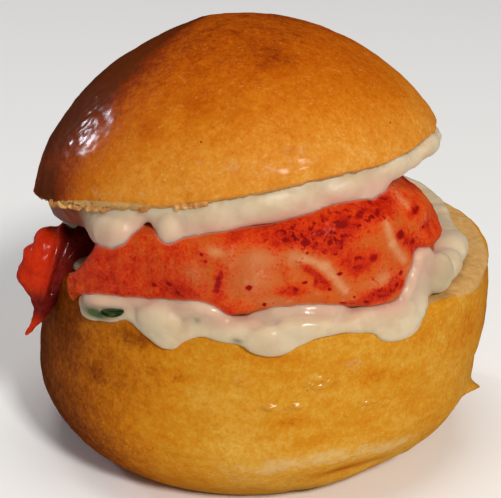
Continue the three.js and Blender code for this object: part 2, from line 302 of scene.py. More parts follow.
class Growth(Graph):
    """A Geometry Nodes tree with named inputs, run once on a mesh and baked."""

    TYPES = {float: "NodeSocketFloat", int: "NodeSocketInt"}

    def __init__(self, name: str) -> None:
        """Starts a tree that takes a mesh and a finish, whose place is in millimetres.

        Args:
            name: the tree's name.
        """
        super().__init__(bpy.data.node_groups.new(name, "GeometryNodeTree"))
        self.tree.interface.new_socket("Mesh", in_out="OUTPUT", socket_type="NodeSocketGeometry")
        self.tree.interface.new_socket("Mesh", in_out="INPUT", socket_type="NodeSocketGeometry")
        self.tree.interface.new_socket("Finish", in_out="INPUT", socket_type="NodeSocketMaterial")
        self.entry = self.tree.nodes.new("NodeGroupInput")
        self.place = self.scaled(self.node("GeometryNodeInputPosition").outputs[0], 1 / MM)

    def size(self, name: str, default: float | int) -> Value:
        """Adds a named input.

        Args:
            name: its name.
            default: its number where none is given.

        Returns:
            What it gives in the tree.
        """
        made = self.tree.interface.new_socket(name, in_out="INPUT", socket_type=self.TYPES[type(default)])
        made.default_value = default
        return Value(self, self.entry.outputs[name])

    def painted(self, name: str) -> Value:
        """A number painted on the mesh's points under a name."""
        return self.value("GeometryNodeInputNamedAttribute", None, {"Name": name}, "Attribute")

    def end(self, mesh: Socket) -> None:
        """Ends the tree in Realize Instances and Set Material.

        Args:
            mesh: the tree's geometry.
        """
        real = self.node("GeometryNodeRealizeInstances", None, {"Geometry": mesh})
        dressed = self.node("GeometryNodeSetMaterial", None,
                            {"Geometry": real.outputs[0], "Material": self.entry.outputs["Finish"]})
        output = self.tree.nodes.new("NodeGroupOutput")
        self.tree.links.new(dressed.outputs[0], output.inputs[0])

    def grow(self, obj: Object, finish: Material, **sizes: float | int) -> Object:
        """Runs the tree on an object and keeps the result as its plain mesh.

        Args:
            obj: the object that is changed.
            finish: the material that the result gets.
            **sizes: the named inputs, written with _ for a space.

        Returns:
            The same object.
        """
        wanted = {name.replace("_", " "): value for name, value in sizes.items()} | {"Finish": finish}
        modifier = obj.modifiers.new("growth", "NODES")
        modifier.node_group = self.tree
        for item in self.tree.interface.items_tree:
            if item.in_out == "INPUT" and item.name in wanted:
                modifier[item.identifier] = wanted.pop(item.name)
        if wanted:
            raise KeyError(f"{self.tree.name} has no input named {sorted(wanted)}")
        return baked(obj)


# ---- Tables ----


def rows_of(kind: type, *rows: tuple) -> tuple:
    """Makes one thing of a kind from each row of its fields."""
    return tuple(kind(*row) for row in rows)


# ---- Meshes ----


def new_object(name: str, mesh: bpy.types.Mesh) -> Object:
    """Makes an object at the origin.

    Args:
        name: its name.
        mesh: the mesh that it holds.

    Returns:
        The new object.
    """
    obj = bpy.data.objects.new(name, mesh)
    bpy.context.scene.collection.objects.link(obj)
    return obj


def baked(obj: Object) -> Object:
    """Replaces an object's mesh by what its modifiers make, and removes them.

    Args:
        obj: the object.

    Returns:
        The same object.
    """
    evaluated = obj.evaluated_get(bpy.context.evaluated_depsgraph_get())
    mesh = bpy.data.meshes.new_from_object(evaluated)
    obj.modifiers.clear()
    old, obj.data = obj.data, mesh
    bpy.data.meshes.remove(old)
    mesh.name = obj.name
    smooth_over(mesh)
    return obj


def smooth_over(mesh: bpy.types.Mesh) -> None:
    """Shades all of a mesh's faces smoothly."""
    mesh.polygons.foreach_set("use_smooth", np.ones(len(mesh.polygons), dtype=bool))


def paint(obj: Object, name: str, values: Array) -> None:
    """Paints one number on each point of a mesh."""
    layer = obj.data.attributes.new(name, "FLOAT", "POINT")
    layer.data.foreach_set("value", np.asarray(values, dtype=np.float32))


def paint_whole(obj: Object, *names: str) -> None:
    """Paints 1 on every point of a mesh, under each name."""
    for name in names:
        paint(obj, name, np.ones(len(obj.data.vertices)))


def points_of(obj: Object) -> Array:
    """Reads a mesh's points.

    Args:
        obj: the object.

    Returns:
        Their places, (points, 3), in millimetres.
    """
    flat = np.empty(len(obj.data.vertices) * 3)
    obj.data.vertices.foreach_get("co", flat)
    return flat.reshape(-1, 3) / MM


def normals_of(obj: Object) -> Array:
    """Reads a mesh's normals.

    Args:
        obj: the object.

    Returns:
        The normal at each of its points, (points, 3).
    """
    flat = np.empty(len(obj.data.vertices) * 3)
    obj.data.vertices.foreach_get("normal", flat)
    return flat.reshape(-1, 3)


def move_points(obj: Object, points: Array) -> None:
    """Puts the mesh's points at places in millimetres."""
    obj.data.vertices.foreach_set("co", (points * MM).ravel())
    obj.data.update()


def closed_skin(name: str, rings: Array, **painted: Array) -> Object:
    """A closed mesh from rings of points that start and end in a pole.

    Args:
        name: the object's name.
        rings: (rings, columns, 3) in millimetres. The first and last ring are each one point, repeated.
        **painted: name to (rings, columns) numbers painted on the points.

    Returns:
        The new object.
    """
    count, columns = rings.shape[:2]
    inner = rings[1:-1].reshape(-1, 3)
    points = np.vstack([rings[0, :1], inner, rings[-1, :1]])
    column = np.arange(columns)
    after = (column + 1) % columns
    ring = 1 + columns * np.arange(count - 3)[:, None]
    quads = np.stack([ring + column, ring + after, ring + columns + after, ring + columns + column], axis=-1)
    last = len(points) - 1
    top = last - columns
    caps = [(0, 1 + b, 1 + a) for a, b in zip(column, after)]
    caps += [(top + a, top + b, last) for a, b in zip(column, after)]
    mesh = bpy.data.meshes.new(name)
    mesh.from_pydata((points * MM).tolist(), [], quads.reshape(-1, 4).tolist() + caps)
    mesh.validate()
    obj = new_object(name, mesh)
    for label, values in painted.items():
        paint(obj, label, np.concatenate([values[0, :1], values[1:-1].ravel(), values[-1, :1]]))
    smooth_over(mesh)
    return obj


def follow(stops: Sequence[Sequence[float]], share: Array) -> Array:
    """A smooth curve through evenly spaced stops.

    Args:
        stops: what it runs through.
        share: shares of its run, from 0 to 1.

    Returns:
        The curve's row at each share.
    """
    known = np.array(stops, dtype=float)
    known = np.vstack([2 * known[0] - known[1], known, 2 * known[-1] - known[-2]])
    reach = np.clip(share, 0, 1) * (len(stops) - 1)
    first = np.minimum(reach.astype(int), len(stops) - 2)
    t = (reach - first)[:, None]
    a, b, c, d = (known[first + i] for i in range(4))
    return 0.5 * (2 * b + (c - a) * t + (2 * a - 5 * b + 4 * c - d) * t**2 + (3 * b - a - 3 * c + d) * t**3)


def between(stops: Sequence[Sequence[float]], at: Array) -> Array:
    """A smooth curve through stops that each start with their place, read at places.

    Args:
        stops: rows of a place and the values there.
        at: the places.

    Returns:
        The values, one row for each place.
    """
    known = np.array(stops, dtype=float)
    where, values = known[:, 0], known[:, 1:]
    slopes = np.gradient(values, where, axis=0)
    first = np.clip(np.searchsorted(where, at) - 1, 0, len(where) - 2)
    run = (where[first + 1] - where[first])[:, None]
    t = np.clip((at[:, None] - where[first][:, None]) / run, 0, 1)
    start, end = values[first], values[first + 1]
    level = (2 * t**3 - 3 * t**2 + 1) * start + (3 * t**2 - 2 * t**3) * end
    return level + run * ((t**3 - 2 * t**2 + t) * slopes[first] + (t**3 - t**2) * slopes[first + 1])


def fuller(values: Array, power: float) -> Array:
    """cos or sin values, raised so that what they trace is a superellipse of that power."""
    return np.sign(values) * np.abs(values) ** (2 / power)


def smooth(values: Array, low: float, high: float) -> Array:
    """0 up to low, 1 from high, and a smooth rise between."""
    t = np.clip((values - low) / (high - low), 0, 1)
    return t * t * (3 - 2 * t)


def bell(angles: Array, at: float, wide: float) -> Array:
    """A bump of 1 round the angle `at` that fades over `wide` degrees to either side."""
    off = (angles - at + 180) % 360 - 180
    return np.exp(-((off / wide) ** 2))


def bumped(bumps: Sequence[Bump], angles: Array) -> Array:
    """The sum of the bumps at angles."""
    return sum(much * bell(angles, at, wide) for at, wide, much in bumps)


def normalised(vector: Array) -> Array:
    """A vector, made 1 long."""
    return vector / np.linalg.norm(vector)


# ---- Finishes ----


@dataclass(frozen=True)
class CrustFinish:
    """Baked crust over airy crumb.

    The mesh paints its bake, from 0, pale, to 1, dark, with painted shade added on the sides taken to lie in
    shadow; "crust", 1 outside and 0 where the crumb is bare; "flour" where it is dusted; and "gloss".
    """

    name: str
    bake: tuple[tuple[float, Colour], ...]
    crumb: Colour = rgb(202, 162, 104)
    crumb_shade: Colour = rgb(180, 132, 68)
    fleck: Colour = rgb(230, 170, 92)
    flour: Colour = rgb(214, 180, 120)
    pore: Colour = rgb(96, 40, 6)
    grain_size: float = 0.42
    fleck_size: float = 0.62
    pore_apart: float = 4.4
    pebble_size: float = 0.5
    depth: float = 0.14  # the height of the bump
    roughness: float = 0.6
    specular: float = 0.04
    coat: float = 0.42
    coat_roughness: float = 0.18
    flatten: float = 1.0  # over 1 where the browning lies in level bands

    def make(self) -> Material:
        """Builds the material.

        Returns:
            The material.
        """
        coat = Coat(self.name)
        drawn = coat.stretched((1.0, 1.0, self.flatten))
        grain = coat.rough(self.grain_size, 2, 0.6)
        speckle = coat.rough(1.0, 2, 0.6)
        bake = coat.painted("bake") + 0.06 * coat.rough(7.0, 2, 0.5, drawn)
        bake = bake + 0.07 * coat.rough(2.4, 3, 0.6, drawn)
        bake = (bake + 0.1 * speckle + 0.1 * grain).held()
        browned = coat.ramp(bake, self.bake)
        flecks = coat.cells(self.fleck_size).step(0.36, 0.14) * coat.noise(1.9, 2).step(0.46, 0.62)
        browned = coat.blend(flecks * (0.36 - 0.32 * bake), browned, self.fleck)
        ragged = coat.painted("flour") * (1 + 1.1 * coat.rough(2.4, 4, 0.7, drawn))
        ragged = ragged + 0.2 * coat.rough(1.9, 3, 0.65)
        browned = coat.blend(ragged.step(0.25, 0.8) * 0.62, browned, self.flour)
        pores = coat.cells(self.pore_apart).step(0.045, 0.03)
        browned = coat.blend(pores * 0.7, browned, self.pore)
        hole = coat.rough(1.1, 3, 0.65)
        crumb = coat.blend(hole.step(-1.1, 0.9), self.crumb_shade, self.crumb)
        crust = (coat.painted("crust") + 0.16 * speckle + 0.12 * grain).step(0.3, 0.75)
        colour = coat.blend(crust, crumb, browned)
        pebble = coat.cells(self.pebble_size, "SMOOTH_F1")
        gloss = coat.painted("gloss").held()
        skin = (0.24 * pebble + 0.12 * grain + 0.14 * speckle) * (1 - 0.7 * gloss)
        skin = skin + 0.12 * gloss * coat.rough(0.9, 2, 0.5, coat.stretched((1.0, 1.0, 1.8)))
        height = crust * skin + (1 - crust) * (0.1 * hole + 0.1 * grain)
        rough = (self.roughness + 0.05 * speckle + (1 - crust) * 0.3).held()
        return coat.finish(Base_Color=colour, Roughness=rough, Normal=coat.bump(height, self.depth),
                           Specular_IOR_Level=self.specular, Coat_Weight=(crust * gloss * self.coat).held(),
                           Coat_Roughness=self.coat_roughness)


@dataclass(frozen=True)
class CreamFinish:
    """Mayonnaise.

    The mesh paints "blush" where it touches the lobster, "green" where a herb shows through, a painted shade
    in its dips, and a brown painted shade where it lies in shadow under the crown.
    """

    name: str
    body: Colour = rgb(212, 193, 162)
    deep: Colour = rgb(196, 172, 136)
    blush: Colour = rgb(212, 160, 144)
    green: Colour = rgb(84, 98, 58)
    # The colour of the painted shade in the dips.
    shade: Colour = rgb(182, 150, 98)
    # A brown painted shade, for where the layer lies in shadow under the crown.
    shade_brown: Colour = rgb(120, 50, 8)
    speck: Colour = rgb(150, 136, 92)
    speck_apart: float = 2.3
    ripple_size: float = 2.2
    depth: float = 0.1  # the height of the bump
    roughness: float = 0.24
    translucency: float = 0.75
    glow: float = 1.5  # how far light spreads inside it

    def make(self) -> Material:
        """Builds the material.

        Returns:
            The material.
        """
        coat = Coat(self.name)
        drift = coat.noise(4.0, 3, 0.55, 0.4)
        colour = coat.blend(drift.step(0.4, 0.62) * 0.6, self.body, self.deep)
        # Painted shade in the dips.
        colour = coat.blend(coat.painted("dip_shade").step(0.06, 0.42) * 0.6, colour, self.shade)
        colour = coat.blend((coat.painted("blush") * (0.15 + 1.0 * drift)).held(), colour, self.blush)
        colour = coat.blend(coat.painted("green").held(), colour, self.green)
        # Brown painted shade where the layer lies in shadow.
        colour = coat.blend((coat.painted("shade_brown") * (0.6 + 0.7 * drift)).held(), colour, self.shade_brown)
        specks = coat.cells(self.speck_apart).step(0.07, 0.045) * coat.noise(6, 1).step(0.5, 0.6)
        colour = coat.blend(specks * 0.4, colour, self.speck)
        ripple = coat.noise(self.ripple_size, 2, 0.5, 0.4)
        rough = (self.roughness + 0.14 * (drift - 0.5)).held()
        return coat.finish(Base_Color=colour, Roughness=rough, Normal=coat.bump(ripple, self.depth),
                           Specular_IOR_Level=0.35, Sheen_Weight=0.3, Sheen_Roughness=0.4,
                           Subsurface_Weight=self.translucency, Subsurface_Radius=(1.0, 0.7, 0.42),
                           Subsurface_Scale=self.glow * MM)


@dataclass(frozen=True)
class MeatFinish:
    """Lobster meat.

    The mesh paints "redness" from 0, bare flesh, to 1, covered in red; "spots" where dark spots crowd; "dark"
    for single dark spots; "pale" for bare white flesh; "wet" for the dark wet skin inside; "gloss"; and
    "smear" where mayonnaise clings to it.
    """

    name: str
    pigment: tuple[tuple[float, Colour], ...] = (
        (0.0, rgb(197, 92, 32)), (0.15, rgb(200, 82, 23)), (0.3, rgb(204, 62, 12)), (0.46, rgb(192, 42, 6)),
        (0.62, rgb(168, 22, 3)), (0.8, rgb(140, 11, 3)), (1.0, rgb(102, 6, 3)),
    )
    pale: Colour = rgb(208, 138, 92)
    wet: Colour = rgb(88, 12, 14)
    smear: Colour = rgb(212, 150, 120)
    cloud_size: float = 1.3
    grain_size: float = 0.34
    spot_size: float = 0.9
    pebble_size: float = 0.6
    mottle: float = 1.0  # how uneven the red is
    roughness: float = 0.7
    specular: float = 0.08
    coat: float = 0.7
    coat_roughness: float = 0.16
    depth: float = 0.14  # the height of the bump
    translucency: float = 0.12
    glow: float = 0.5  # how far light spreads inside it

    def make(self) -> Material:
        """Builds the material.

        Returns:
            The material.
        """
        coat = Coat(self.name)
        cloud, drift = coat.rough(self.cloud_size, 4, 0.7), coat.rough(4.5, 2)
        grain = coat.rough(self.grain_size, 3, 0.8)
        spots = coat.rough(self.spot_size, 2, 0.5).step(0.12, 0.5) * coat.painted("spots").held()
        redness = coat.painted("redness").held()
        mottled = self.mottle * (0.26 * cloud + grain * (0.42 - 0.24 * redness))
        share = redness * (0.56 + 0.1 * drift) + mottled + 0.5 * spots - 0.08
        single = (coat.painted("dark") * (0.3 + 1.3 * coat.noise(0.6, 2))).step(0.3, 0.8)
        share = (share + single * (0.84 - share)).held()
        colour = coat.ramp(share, self.pigment)
        pale = coat.painted("pale") * (0.8 + 0.35 * cloud)
        bare = (pale + coat.rough(2.6).step(0.2, 0.9) * 0.5) * (1.1 - 2.2 * share)
        colour = coat.blend(bare.held(), colour, self.pale)
        wet, smeared = coat.painted("wet"), coat.painted("smear")
        colour = coat.blend((wet + 0.12 * cloud * wet).held(), colour, self.wet)
        colour = coat.blend((smeared + 0.3 * cloud * smeared).held() * 0.5, colour, self.smear)
        pebble = coat.cells(self.pebble_size, "SMOOTH_F1")
        gloss = coat.painted("gloss").held()
        height = (0.2 + 0.9 * gloss) * pebble + 0.3 * coat.rough(self.cloud_size, 3, 0.6) + 0.2 * grain
        rough = (self.roughness - 0.2 * gloss + 0.05 * grain).held()
        return coat.finish(Base_Color=colour, Roughness=rough, Normal=coat.bump(height, self.depth),
                           Specular_IOR_Level=self.specular, Coat_Weight=(gloss * self.coat).held(),
                           Coat_Roughness=self.coat_roughness, Subsurface_Weight=self.translucency,
                           Subsurface_Radius=(1.0, 0.35, 0.18), Subsurface_Scale=self.glow * MM)


@dataclass(frozen=True)
class HerbFinish:
    """A wet green herb."""

    name: str = "herb"
    deep: Colour = rgb(26, 46, 18)
    light: Colour = rgb(66, 88, 36)
    streak_size: float = 0.5
    depth: float = 0.08  # the height of the bump
    roughness: float = 0.25

    def make(self) -> Material:
        """Builds the material.

        Returns:
            The material.
        """
        coat = Coat(self.name)
        streak = coat.noise(self.streak_size, 2, 0.6, at=coat.stretched((0.3, 0.3, 1.0)))
        colour = coat.blend(streak.step(0.4, 0.7), self.deep, self.light)
        normal = coat.bump(streak, self.depth)
        return coat.finish(Base_Color=colour, Roughness=self.roughness, Normal=normal)


@dataclass(frozen=True)
class CrumbFinish:
    """Torn crumbs of the roll."""

    name: str = "crumbs"
    light: Colour = rgb(226, 170, 98)
    toasted: Colour = rgb(176, 112, 48)
    grain_size: float = 0.4
    depth: float = 0.1  # the height of the bump
    roughness: float = 0.75
    glow: float = 0.6  # how far light spreads inside them

    def make(self) -> Material:
        """Builds the material.

        Returns:
            The material.
        """
        coat = Coat(self.name)
        colour = coat.blend(coat.noise(2.4, 2, 0.5).step(0.38, 0.62), self.light, self.toasted)
        normal = coat.bump(coat.noise(self.grain_size, 3, 0.6), self.depth)
        return coat.finish(Base_Color=colour, Roughness=self.roughness, Normal=normal, Subsurface_Weight=0.2,
                           Subsurface_Radius=(1.0, 0.6, 0.3), Subsurface_Scale=self.glow * MM)


@dataclass(frozen=True)
class FloorFinish:
    """The plain pale surface that the sandwich stands on."""

    name: str = "floor"
    colour: Colour = rgb(250, 250, 249)
    roughness: float = 0.7

    def make(self) -> Material:
        """Builds the material."""
        return Coat(self.name).finish(Base_Color=self.colour, Roughness=self.roughness)


# Colours for the crust's bake, from pale to dark; the dark end also carries the painted shade on the shaded
# sides.
HEEL_BAKE_AND_SHADE = (
    (0.0, rgb(220, 182, 120)), (0.2, rgb(210, 158, 60)), (0.38, rgb(200, 134, 26)),
    (0.5, rgb(196, 118, 14)), (0.62, rgb(176, 97, 6)), (0.8, rgb(136, 64, 3)), (1.0, rgb(92, 36, 2)),
)
CROWN_BAKE_AND_SHADE = (
    (0.0, rgb(222, 166, 92)), (0.2, rgb(208, 134, 42)), (0.4, rgb(194, 107, 14)), (0.6, rgb(176, 82, 3)),
    (0.8, rgb(134, 49, 2)), (1.0, rgb(96, 38, 2)),
)


# ---- Relief ----


@dataclass(frozen=True)
class Grain:
    """The relief of a skin: how far apart the swells, folds and pores are, and how high or deep."""

    swell: tuple[float, float]
    fold: tuple[float, float]
    pore: tuple[float, float] = (1.0, 0.0)
    flatten: float = 1.0  # over 1 where the folds lie level


class Relief:
    """Geometry Nodes that raise and pit a skin along its normals.

    The skin paints "loose", how much of the relief it takes, and "crust": folds rise where it is 1 and pores
    are pressed in where it is 0.
    """

    GAIN = 3.0  # what widens noise about its middle to about -1 to 1

    def __init__(self) -> None:
        """Builds the tree."""
        growth = Growth("relief")
        swell_size, swell = growth.size("Swell size", 12.0), growth.size("Swell height", 0.3)
        fold_size, fold = growth.size("Fold size", 4.0), growth.size("Fold height", 0.1)
        pore_size, pore = growth.size("Pore size", 1.6), growth.size("Pore depth", 0.0)
        flat = growth.size("Flatten", 1.0)
        crust, loose = growth.painted("crust"), growth.painted("loose")
        along = growth.node("ShaderNodeCombineXYZ", None, {"X": 1.0, "Y": 1.0, "Z": flat})
        drawn = growth.stretched(along.outputs[0])
        swells = self._rough(growth, swell_size, growth.place, 2.0) * swell
        folds = self._rough(growth, fold_size, drawn, 3.0) * fold
        holes = (self._rough(growth, pore_size, growth.place, 2.0) + 0.1).held() * pore
        height = loose * (swells + crust * folds - (1 - crust) * holes) * MM
        offset = growth.scaled(growth.node("GeometryNodeInputNormal").outputs[0], height)
        moved = growth.node("GeometryNodeSetPosition", None,
                            {"Geometry": growth.entry.outputs["Mesh"], "Offset": offset})
        growth.end(moved.outputs[0])
        self.growth = growth

    @classmethod
    def _rough(cls, growth: Growth, size: Value, at: Socket, detail: float) -> Value:
        """Noise from about -1 to 1.

        Args:
            growth: the tree.
            size: its scale in millimetres.
            at: where it is read.
            detail: how many finer octaves it has.

        Returns:
            The noise.
        """
        sockets = {"Vector": at, "Scale": 1.0 / size, "Detail": detail}
        return (growth.value("ShaderNodeTexNoise", None, sockets) - 0.5) * cls.GAIN

    def raise_on(self, obj: Object, finish: Material, grain: Grain) -> Object:
        """Raises the relief on an object and dresses it.

        Args:
            obj: the object.
            finish: the material that it gets.
            grain: the relief's sizes.

        Returns:
            The same object.
        """
        return self.growth.grow(
            obj, finish, Swell_size=grain.swell[0], Swell_height=grain.swell[1], Fold_size=grain.fold[0],
            Fold_height=grain.fold[1], Pore_size=grain.pore[0], Pore_depth=grain.pore[1],
            Flatten=grain.flatten,
        )


class Sieve:
    """Geometry Nodes that drop the loose specks of a mesh."""

    LEAST = 400  # a loose piece of fewer points is a speck

    def __init__(self) -> None:
        """Builds the tree."""
        growth = Growth("sieve")
        least = growth.size("Least points", self.LEAST)
        island = growth.node("GeometryNodeInputMeshIsland")
        total = growth.node("GeometryNodeAccumulateField", {"data_type": "INT"},
                            {"Value": 1, "Group ID": island.outputs["Island Index"]})
        small = growth.node("FunctionNodeCompare", {"data_type": "INT", "operation": "LESS_THAN"},
                            {"A": total.outputs["Total"], "B": least})
        kept = growth.node("GeometryNodeDeleteGeometry", None,
                           {"Geometry": growth.entry.outputs["Mesh"], "Selection": small.outputs["Result"]})
        growth.end(kept.outputs[0])
        self.growth = growth

    def shake(self, obj: Object, finish: Material) -> Object:
        """Drops an object's loose specks."""
        return self.growth.grow(obj, finish, Least_points=self.LEAST)


class Skinned:
    """A piece of one closed skin with relief on it."""

    grain: Grain

    def skin(self) -> Object:
        """The painted skin, before its relief."""
        raise NotImplementedError

    def build(self, relief: Relief, finish: Material) -> Object:
        """Makes the skin, lays its relief and dresses it."""
        return relief.raise_on(self.skin(), finish, self.grain)


# ---- The roll ----


@dataclass(frozen=True)
class Wave:
    """One way in which a round outline isn't round."""

    turns: int
    share: float
    shift: float


@dataclass(frozen=True)
class Blotch:
    """A blotch on a crust.

    It has an angle and a height, half its width in degrees, half its height, and a strength.
    """

    at: float
    high: float
    wide: float
    tall: float
    strength: float

    def over(self, angles: Array, heights: Array) -> Array:
        """The blotch's share at angles and heights."""
        up = (heights - self.high) / self.tall
        return self.strength * bell(angles, self.at, self.wide) * np.exp(-(up**2))


def unevenness(waves: Sequence[Wave], angles: Array) -> Array:
    """How much longer the radius is at each angle."""
    return 1 + sum(w.share * np.cos(np.radians(w.turns * angles + w.shift)) for w in waves)


def polar(radius: Array, angles: Array, height: Array) -> Array:
    """Points (..., 3) at a radius, an angle and a height."""
    turn = np.radians(angles)
    return np.stack(np.broadcast_arrays(radius * np.cos(turn), radius * np.sin(turn), height), axis=-1)


def blotched(blotches: Sequence[Blotch], angles: Array, heights: Array) -> Array:
    """The sum of the blotches' shares at angles and heights."""
    return sum(blotch.over(angles, heights) for blotch in blotches)


def crinkle(blotches: Sequence[Blotch], angles: Array, heights: Array) -> Array:
    """Fine level wrinkles over the blotches that have them.

    Args:
        blotches: where the wrinkles are, and how high.
        angles: the angles round the crust.
        heights: the heights on it.

    Returns:
        How far they stand off it at each.
    """
    turn = np.radians(angles)
    wave = np.sin(heights * 4.6 + 1.4 * np.sin(turn * 31) + 1.2 * np.sin(turn * 73))
    return blotched(blotches, angles, heights) * (0.55 + 0.45 * wave)


def round_angles(count: int) -> Array:
    """Evenly spaced angles round a piece."""
    return np.arange(count) * 360 / count


@dataclass
class Heel(Skinned):
    """The lower half of the roll, standing on its flat underside."""

    height: float = 29.6
    radius: float = 32.9
    widest_at: float = 12.9
    base_radius: float = 23.8
    flank_power: float = 1.05
    rim_inset: float = 1.1
    rim_round: float = 0.9
    lean: float = 3.4
    cut_slope: float = 0.045
    waves: tuple[Wave, ...] = (Wave(2, 0.004, 40), Wave(3, 0.006, 20), Wave(5, 0.003, 70))
    browned: tuple[Blotch, ...] = rows_of(
        Blotch,
        (249, 22.5, 3, 1.1, 0.2), (243, 23, 2.5, 1, 0.18), (226, 19.5, 3, 1.2, 0.13),
        (213, 23.5, 6, 3, 0.14), (297, 21.8, 4.5, 1.1, 0.17), (305, 20.9, 3.5, 1, 0.12),
        (277, 17, 5, 1.1, 0.18), (272, 14.6, 2.5, 0.8, 0.1), (283, 13.6, 6, 1.2, 0.13),
        (289, 25, 3, 0.8, 0.13), (310, 26, 6, 1.6, 0.08), (238, 26.6, 6, 1.3, 0.26),
        (270, 26.3, 9, 0.9, 0.14), (330, 23, 7, 4, 0.14), (352, 20, 9, 8, 0.3), (295, 6.6, 10, 0.9, 0.28),
        # The first two rows here darken the lower left, partly as browning and partly as painted shade.
        (222, 9, 22, 7, 0.22), (240, 3.5, 20, 4, 0.14), (232, 20, 14, 3.5, 0.08),
        (258, 20.5, 7, 1.6, -0.08), (270, 13, 12, 2.5, -0.06), (303, 16, 12, 3, 0.07),
        (322, 12, 12, 4, 0.08),
    )
    floury: tuple[Blotch, ...] = rows_of(
        Blotch,
        (288, 10.4, 14, 1.5, 0.85), (268, 9.4, 9, 1.4, 0.55), (306, 9.4, 9, 1.1, 0.75),
        (270, 6.6, 20, 1.6, 0.35), (290, 24.4, 8, 1.4, 0.35), (246, 14, 9, 4, 0.22),
        (264, 23.2, 4, 1.4, 0.35), (318, 20, 8, 3, 0.18),
    )
    wrinkled: tuple[Blotch, ...] = rows_of(
        Blotch,
        (282.5, 22.4, 3.2, 0.9, 0.7), (271, 19.2, 1.6, 0.5, 0.7), (276.5, 19.1, 2.6, 0.45, 0.8),
        (296, 18.5, 2.6, 0.55, 0.8), (302, 18.3, 1, 0.4, 0.6), (264, 23, 1.3, 0.6, 0.5),
        (286, 10, 14, 1.7, 0.24), (234.6, 26.3, 1.3, 0.6, 0.6), (319, 22, 1.2, 0.6, 0.5),
        (222, 25.6, 4, 1.6, 0.16),
    )
    dents: tuple[Blotch, ...] = rows_of(
        Blotch,
        (298, 6, 12, 1.4, 0.7), (347, 14, 14, 3.6, 0.6), (335, 8.2, 8, 1.5, 0.5), (352, 29, 14, 2.6, 0.55),
        (313, 2.9, 7, 1.4, 0.6), (198, 8, 24, 6, 0.35), (344, 12, 7, 0.9, 0.35), (15, 29, 18, 2.6, 0.4),
        (299, 1, 2.4, 1.2, 0.5), (285, 0.8, 2, 1, 0.4),
    )
    peel: Blotch = Blotch(343.0, 10.3, 2.6, 2.0, 1.8)  # a flap of crust that stands off the wall
    bare: Blotch = Blotch(338, 30.6, 22.0, 3.0, 1.0)  # where the crumb shows at the rim
    bake: float = 0.27
    base_bake: float = 0.35
    high_bake: float = 0.08  # how much more it is baked near the rim
    # Darker sides (angle, width, how much): at 188 degrees, the left, this is browning and painted shade
    # together.
    sides_bake: tuple[Bump, ...] = ((188, 42, 0.6), (80, 70, 0.12))
    columns: int = 440
    flank_rows: int = 48
    wall_rows: int = 66
    cut_rows: int = 60
    grain: Grain = Grain(swell=(10.0, 0.3), fold=(2.6, 0.07), pore=(2.6, 0.12), flatten=1.4)

    def wall(self, angles: Array, heights: Array) -> Array:
        """The wall's radius.

        Args:
            angles: the angles round the heel.
            heights: the heights over its base.

        Returns:
            The radius at each pair of them.
        """
        below = np.clip(1 - heights / self.widest_at, 0, 1)
        above = np.clip((heights - self.widest_at) / (self.height - self.widest_at), 0, 1)
        flank = (1 - below**2) ** (1 / self.flank_power)
        plain = self.base_radius + (self.radius - self.base_radius) * flank - self.rim_inset * above**2
        return plain * unevenness(self.waves, angles)

    def bent(self, points: Array) -> Array:
        """Gives points the roll's lean and the slope of its cut face.

        Args:
            points: (..., 3) places on an upright heel.

        Returns:
            Their places on the leaning one.
        """
        up = np.clip(points[..., 2], 0, None) / self.height
        moved = points.copy()
        moved[..., 0] += up * self.lean
        moved[..., 2] += up * self.cut_slope * points[..., 1]
        return moved

    def beside_rim(self, angle: float, out: float, up: float) -> Array:
        """The point so far outside the rim and over the cut face, at an angle."""
        rim = float(self.wall(np.array(angle), np.array(self.height)))
        return self.bent(polar(np.array(rim + out), np.array(angle), np.array(self.height + up)))

    def rings(self) -> tuple[Array, Array]:
        """The skin before it is bent.

        Returns:
            The skin's rings, and which part each ring is on: 0 the base, 1 the wall and 2 the cut face.
        """
        angles = round_angles(self.columns)
        flank = self.widest_at * (1 - np.cos(np.radians(np.linspace(8, 90, self.flank_rows))))
        wall = np.linspace(self.widest_at, self.height - self.rim_round, self.wall_rows)[1:]
        rows, parts = [], []
        foot = self.wall(angles, np.full(self.columns, flank[0]))
        for share in (0, 0.3, 0.55, 0.75, 0.9, 0.97):
            rows.append(polar(foot * share, angles, np.zeros(1)))
            parts.append(0)
        for height in np.concatenate([flank, wall]):
            level = np.full(self.columns, height)
            raised = crinkle(self.wrinkled, angles, level) - blotched(self.dents, angles, level)
            flap = smooth(level, self.peel.high - self.peel.tall, self.peel.high)
            flap = flap**2 * (1 - smooth(level, self.peel.high + 0.1, self.peel.high + 0.3))
            raised = raised + flap * self.peel.strength * bell(angles, self.peel.at, self.peel.wide)
            rows.append(polar(self.wall(angles, level) + raised, angles, np.array(height)))
            parts.append(1)
        rim = self.wall(angles, np.full(self.columns, self.height))
        for slope in (25, 50, 75):
            turn = math.radians(slope)
            out = rim - self.rim_round * (1 - math.cos(turn))
            rows.append(polar(out, angles, np.array(self.height - self.rim_round * (1 - math.sin(turn)))))
            parts.append(1)
        for share in np.linspace(1, 0, self.cut_rows) ** 0.8:
            rows.append(polar((rim - self.rim_round) * share, angles, np.array(self.height)))
            parts.append(2)
        return np.stack(rows), np.array(parts)

    def skin(self) -> Object:
        """The painted skin, before its relief.

        Returns:
            The new object.
        """
        rings, parts = self.rings()
        angles = round_angles(self.columns)
        heights = rings[..., 2]
        part = parts[:, None] * np.ones_like(heights)
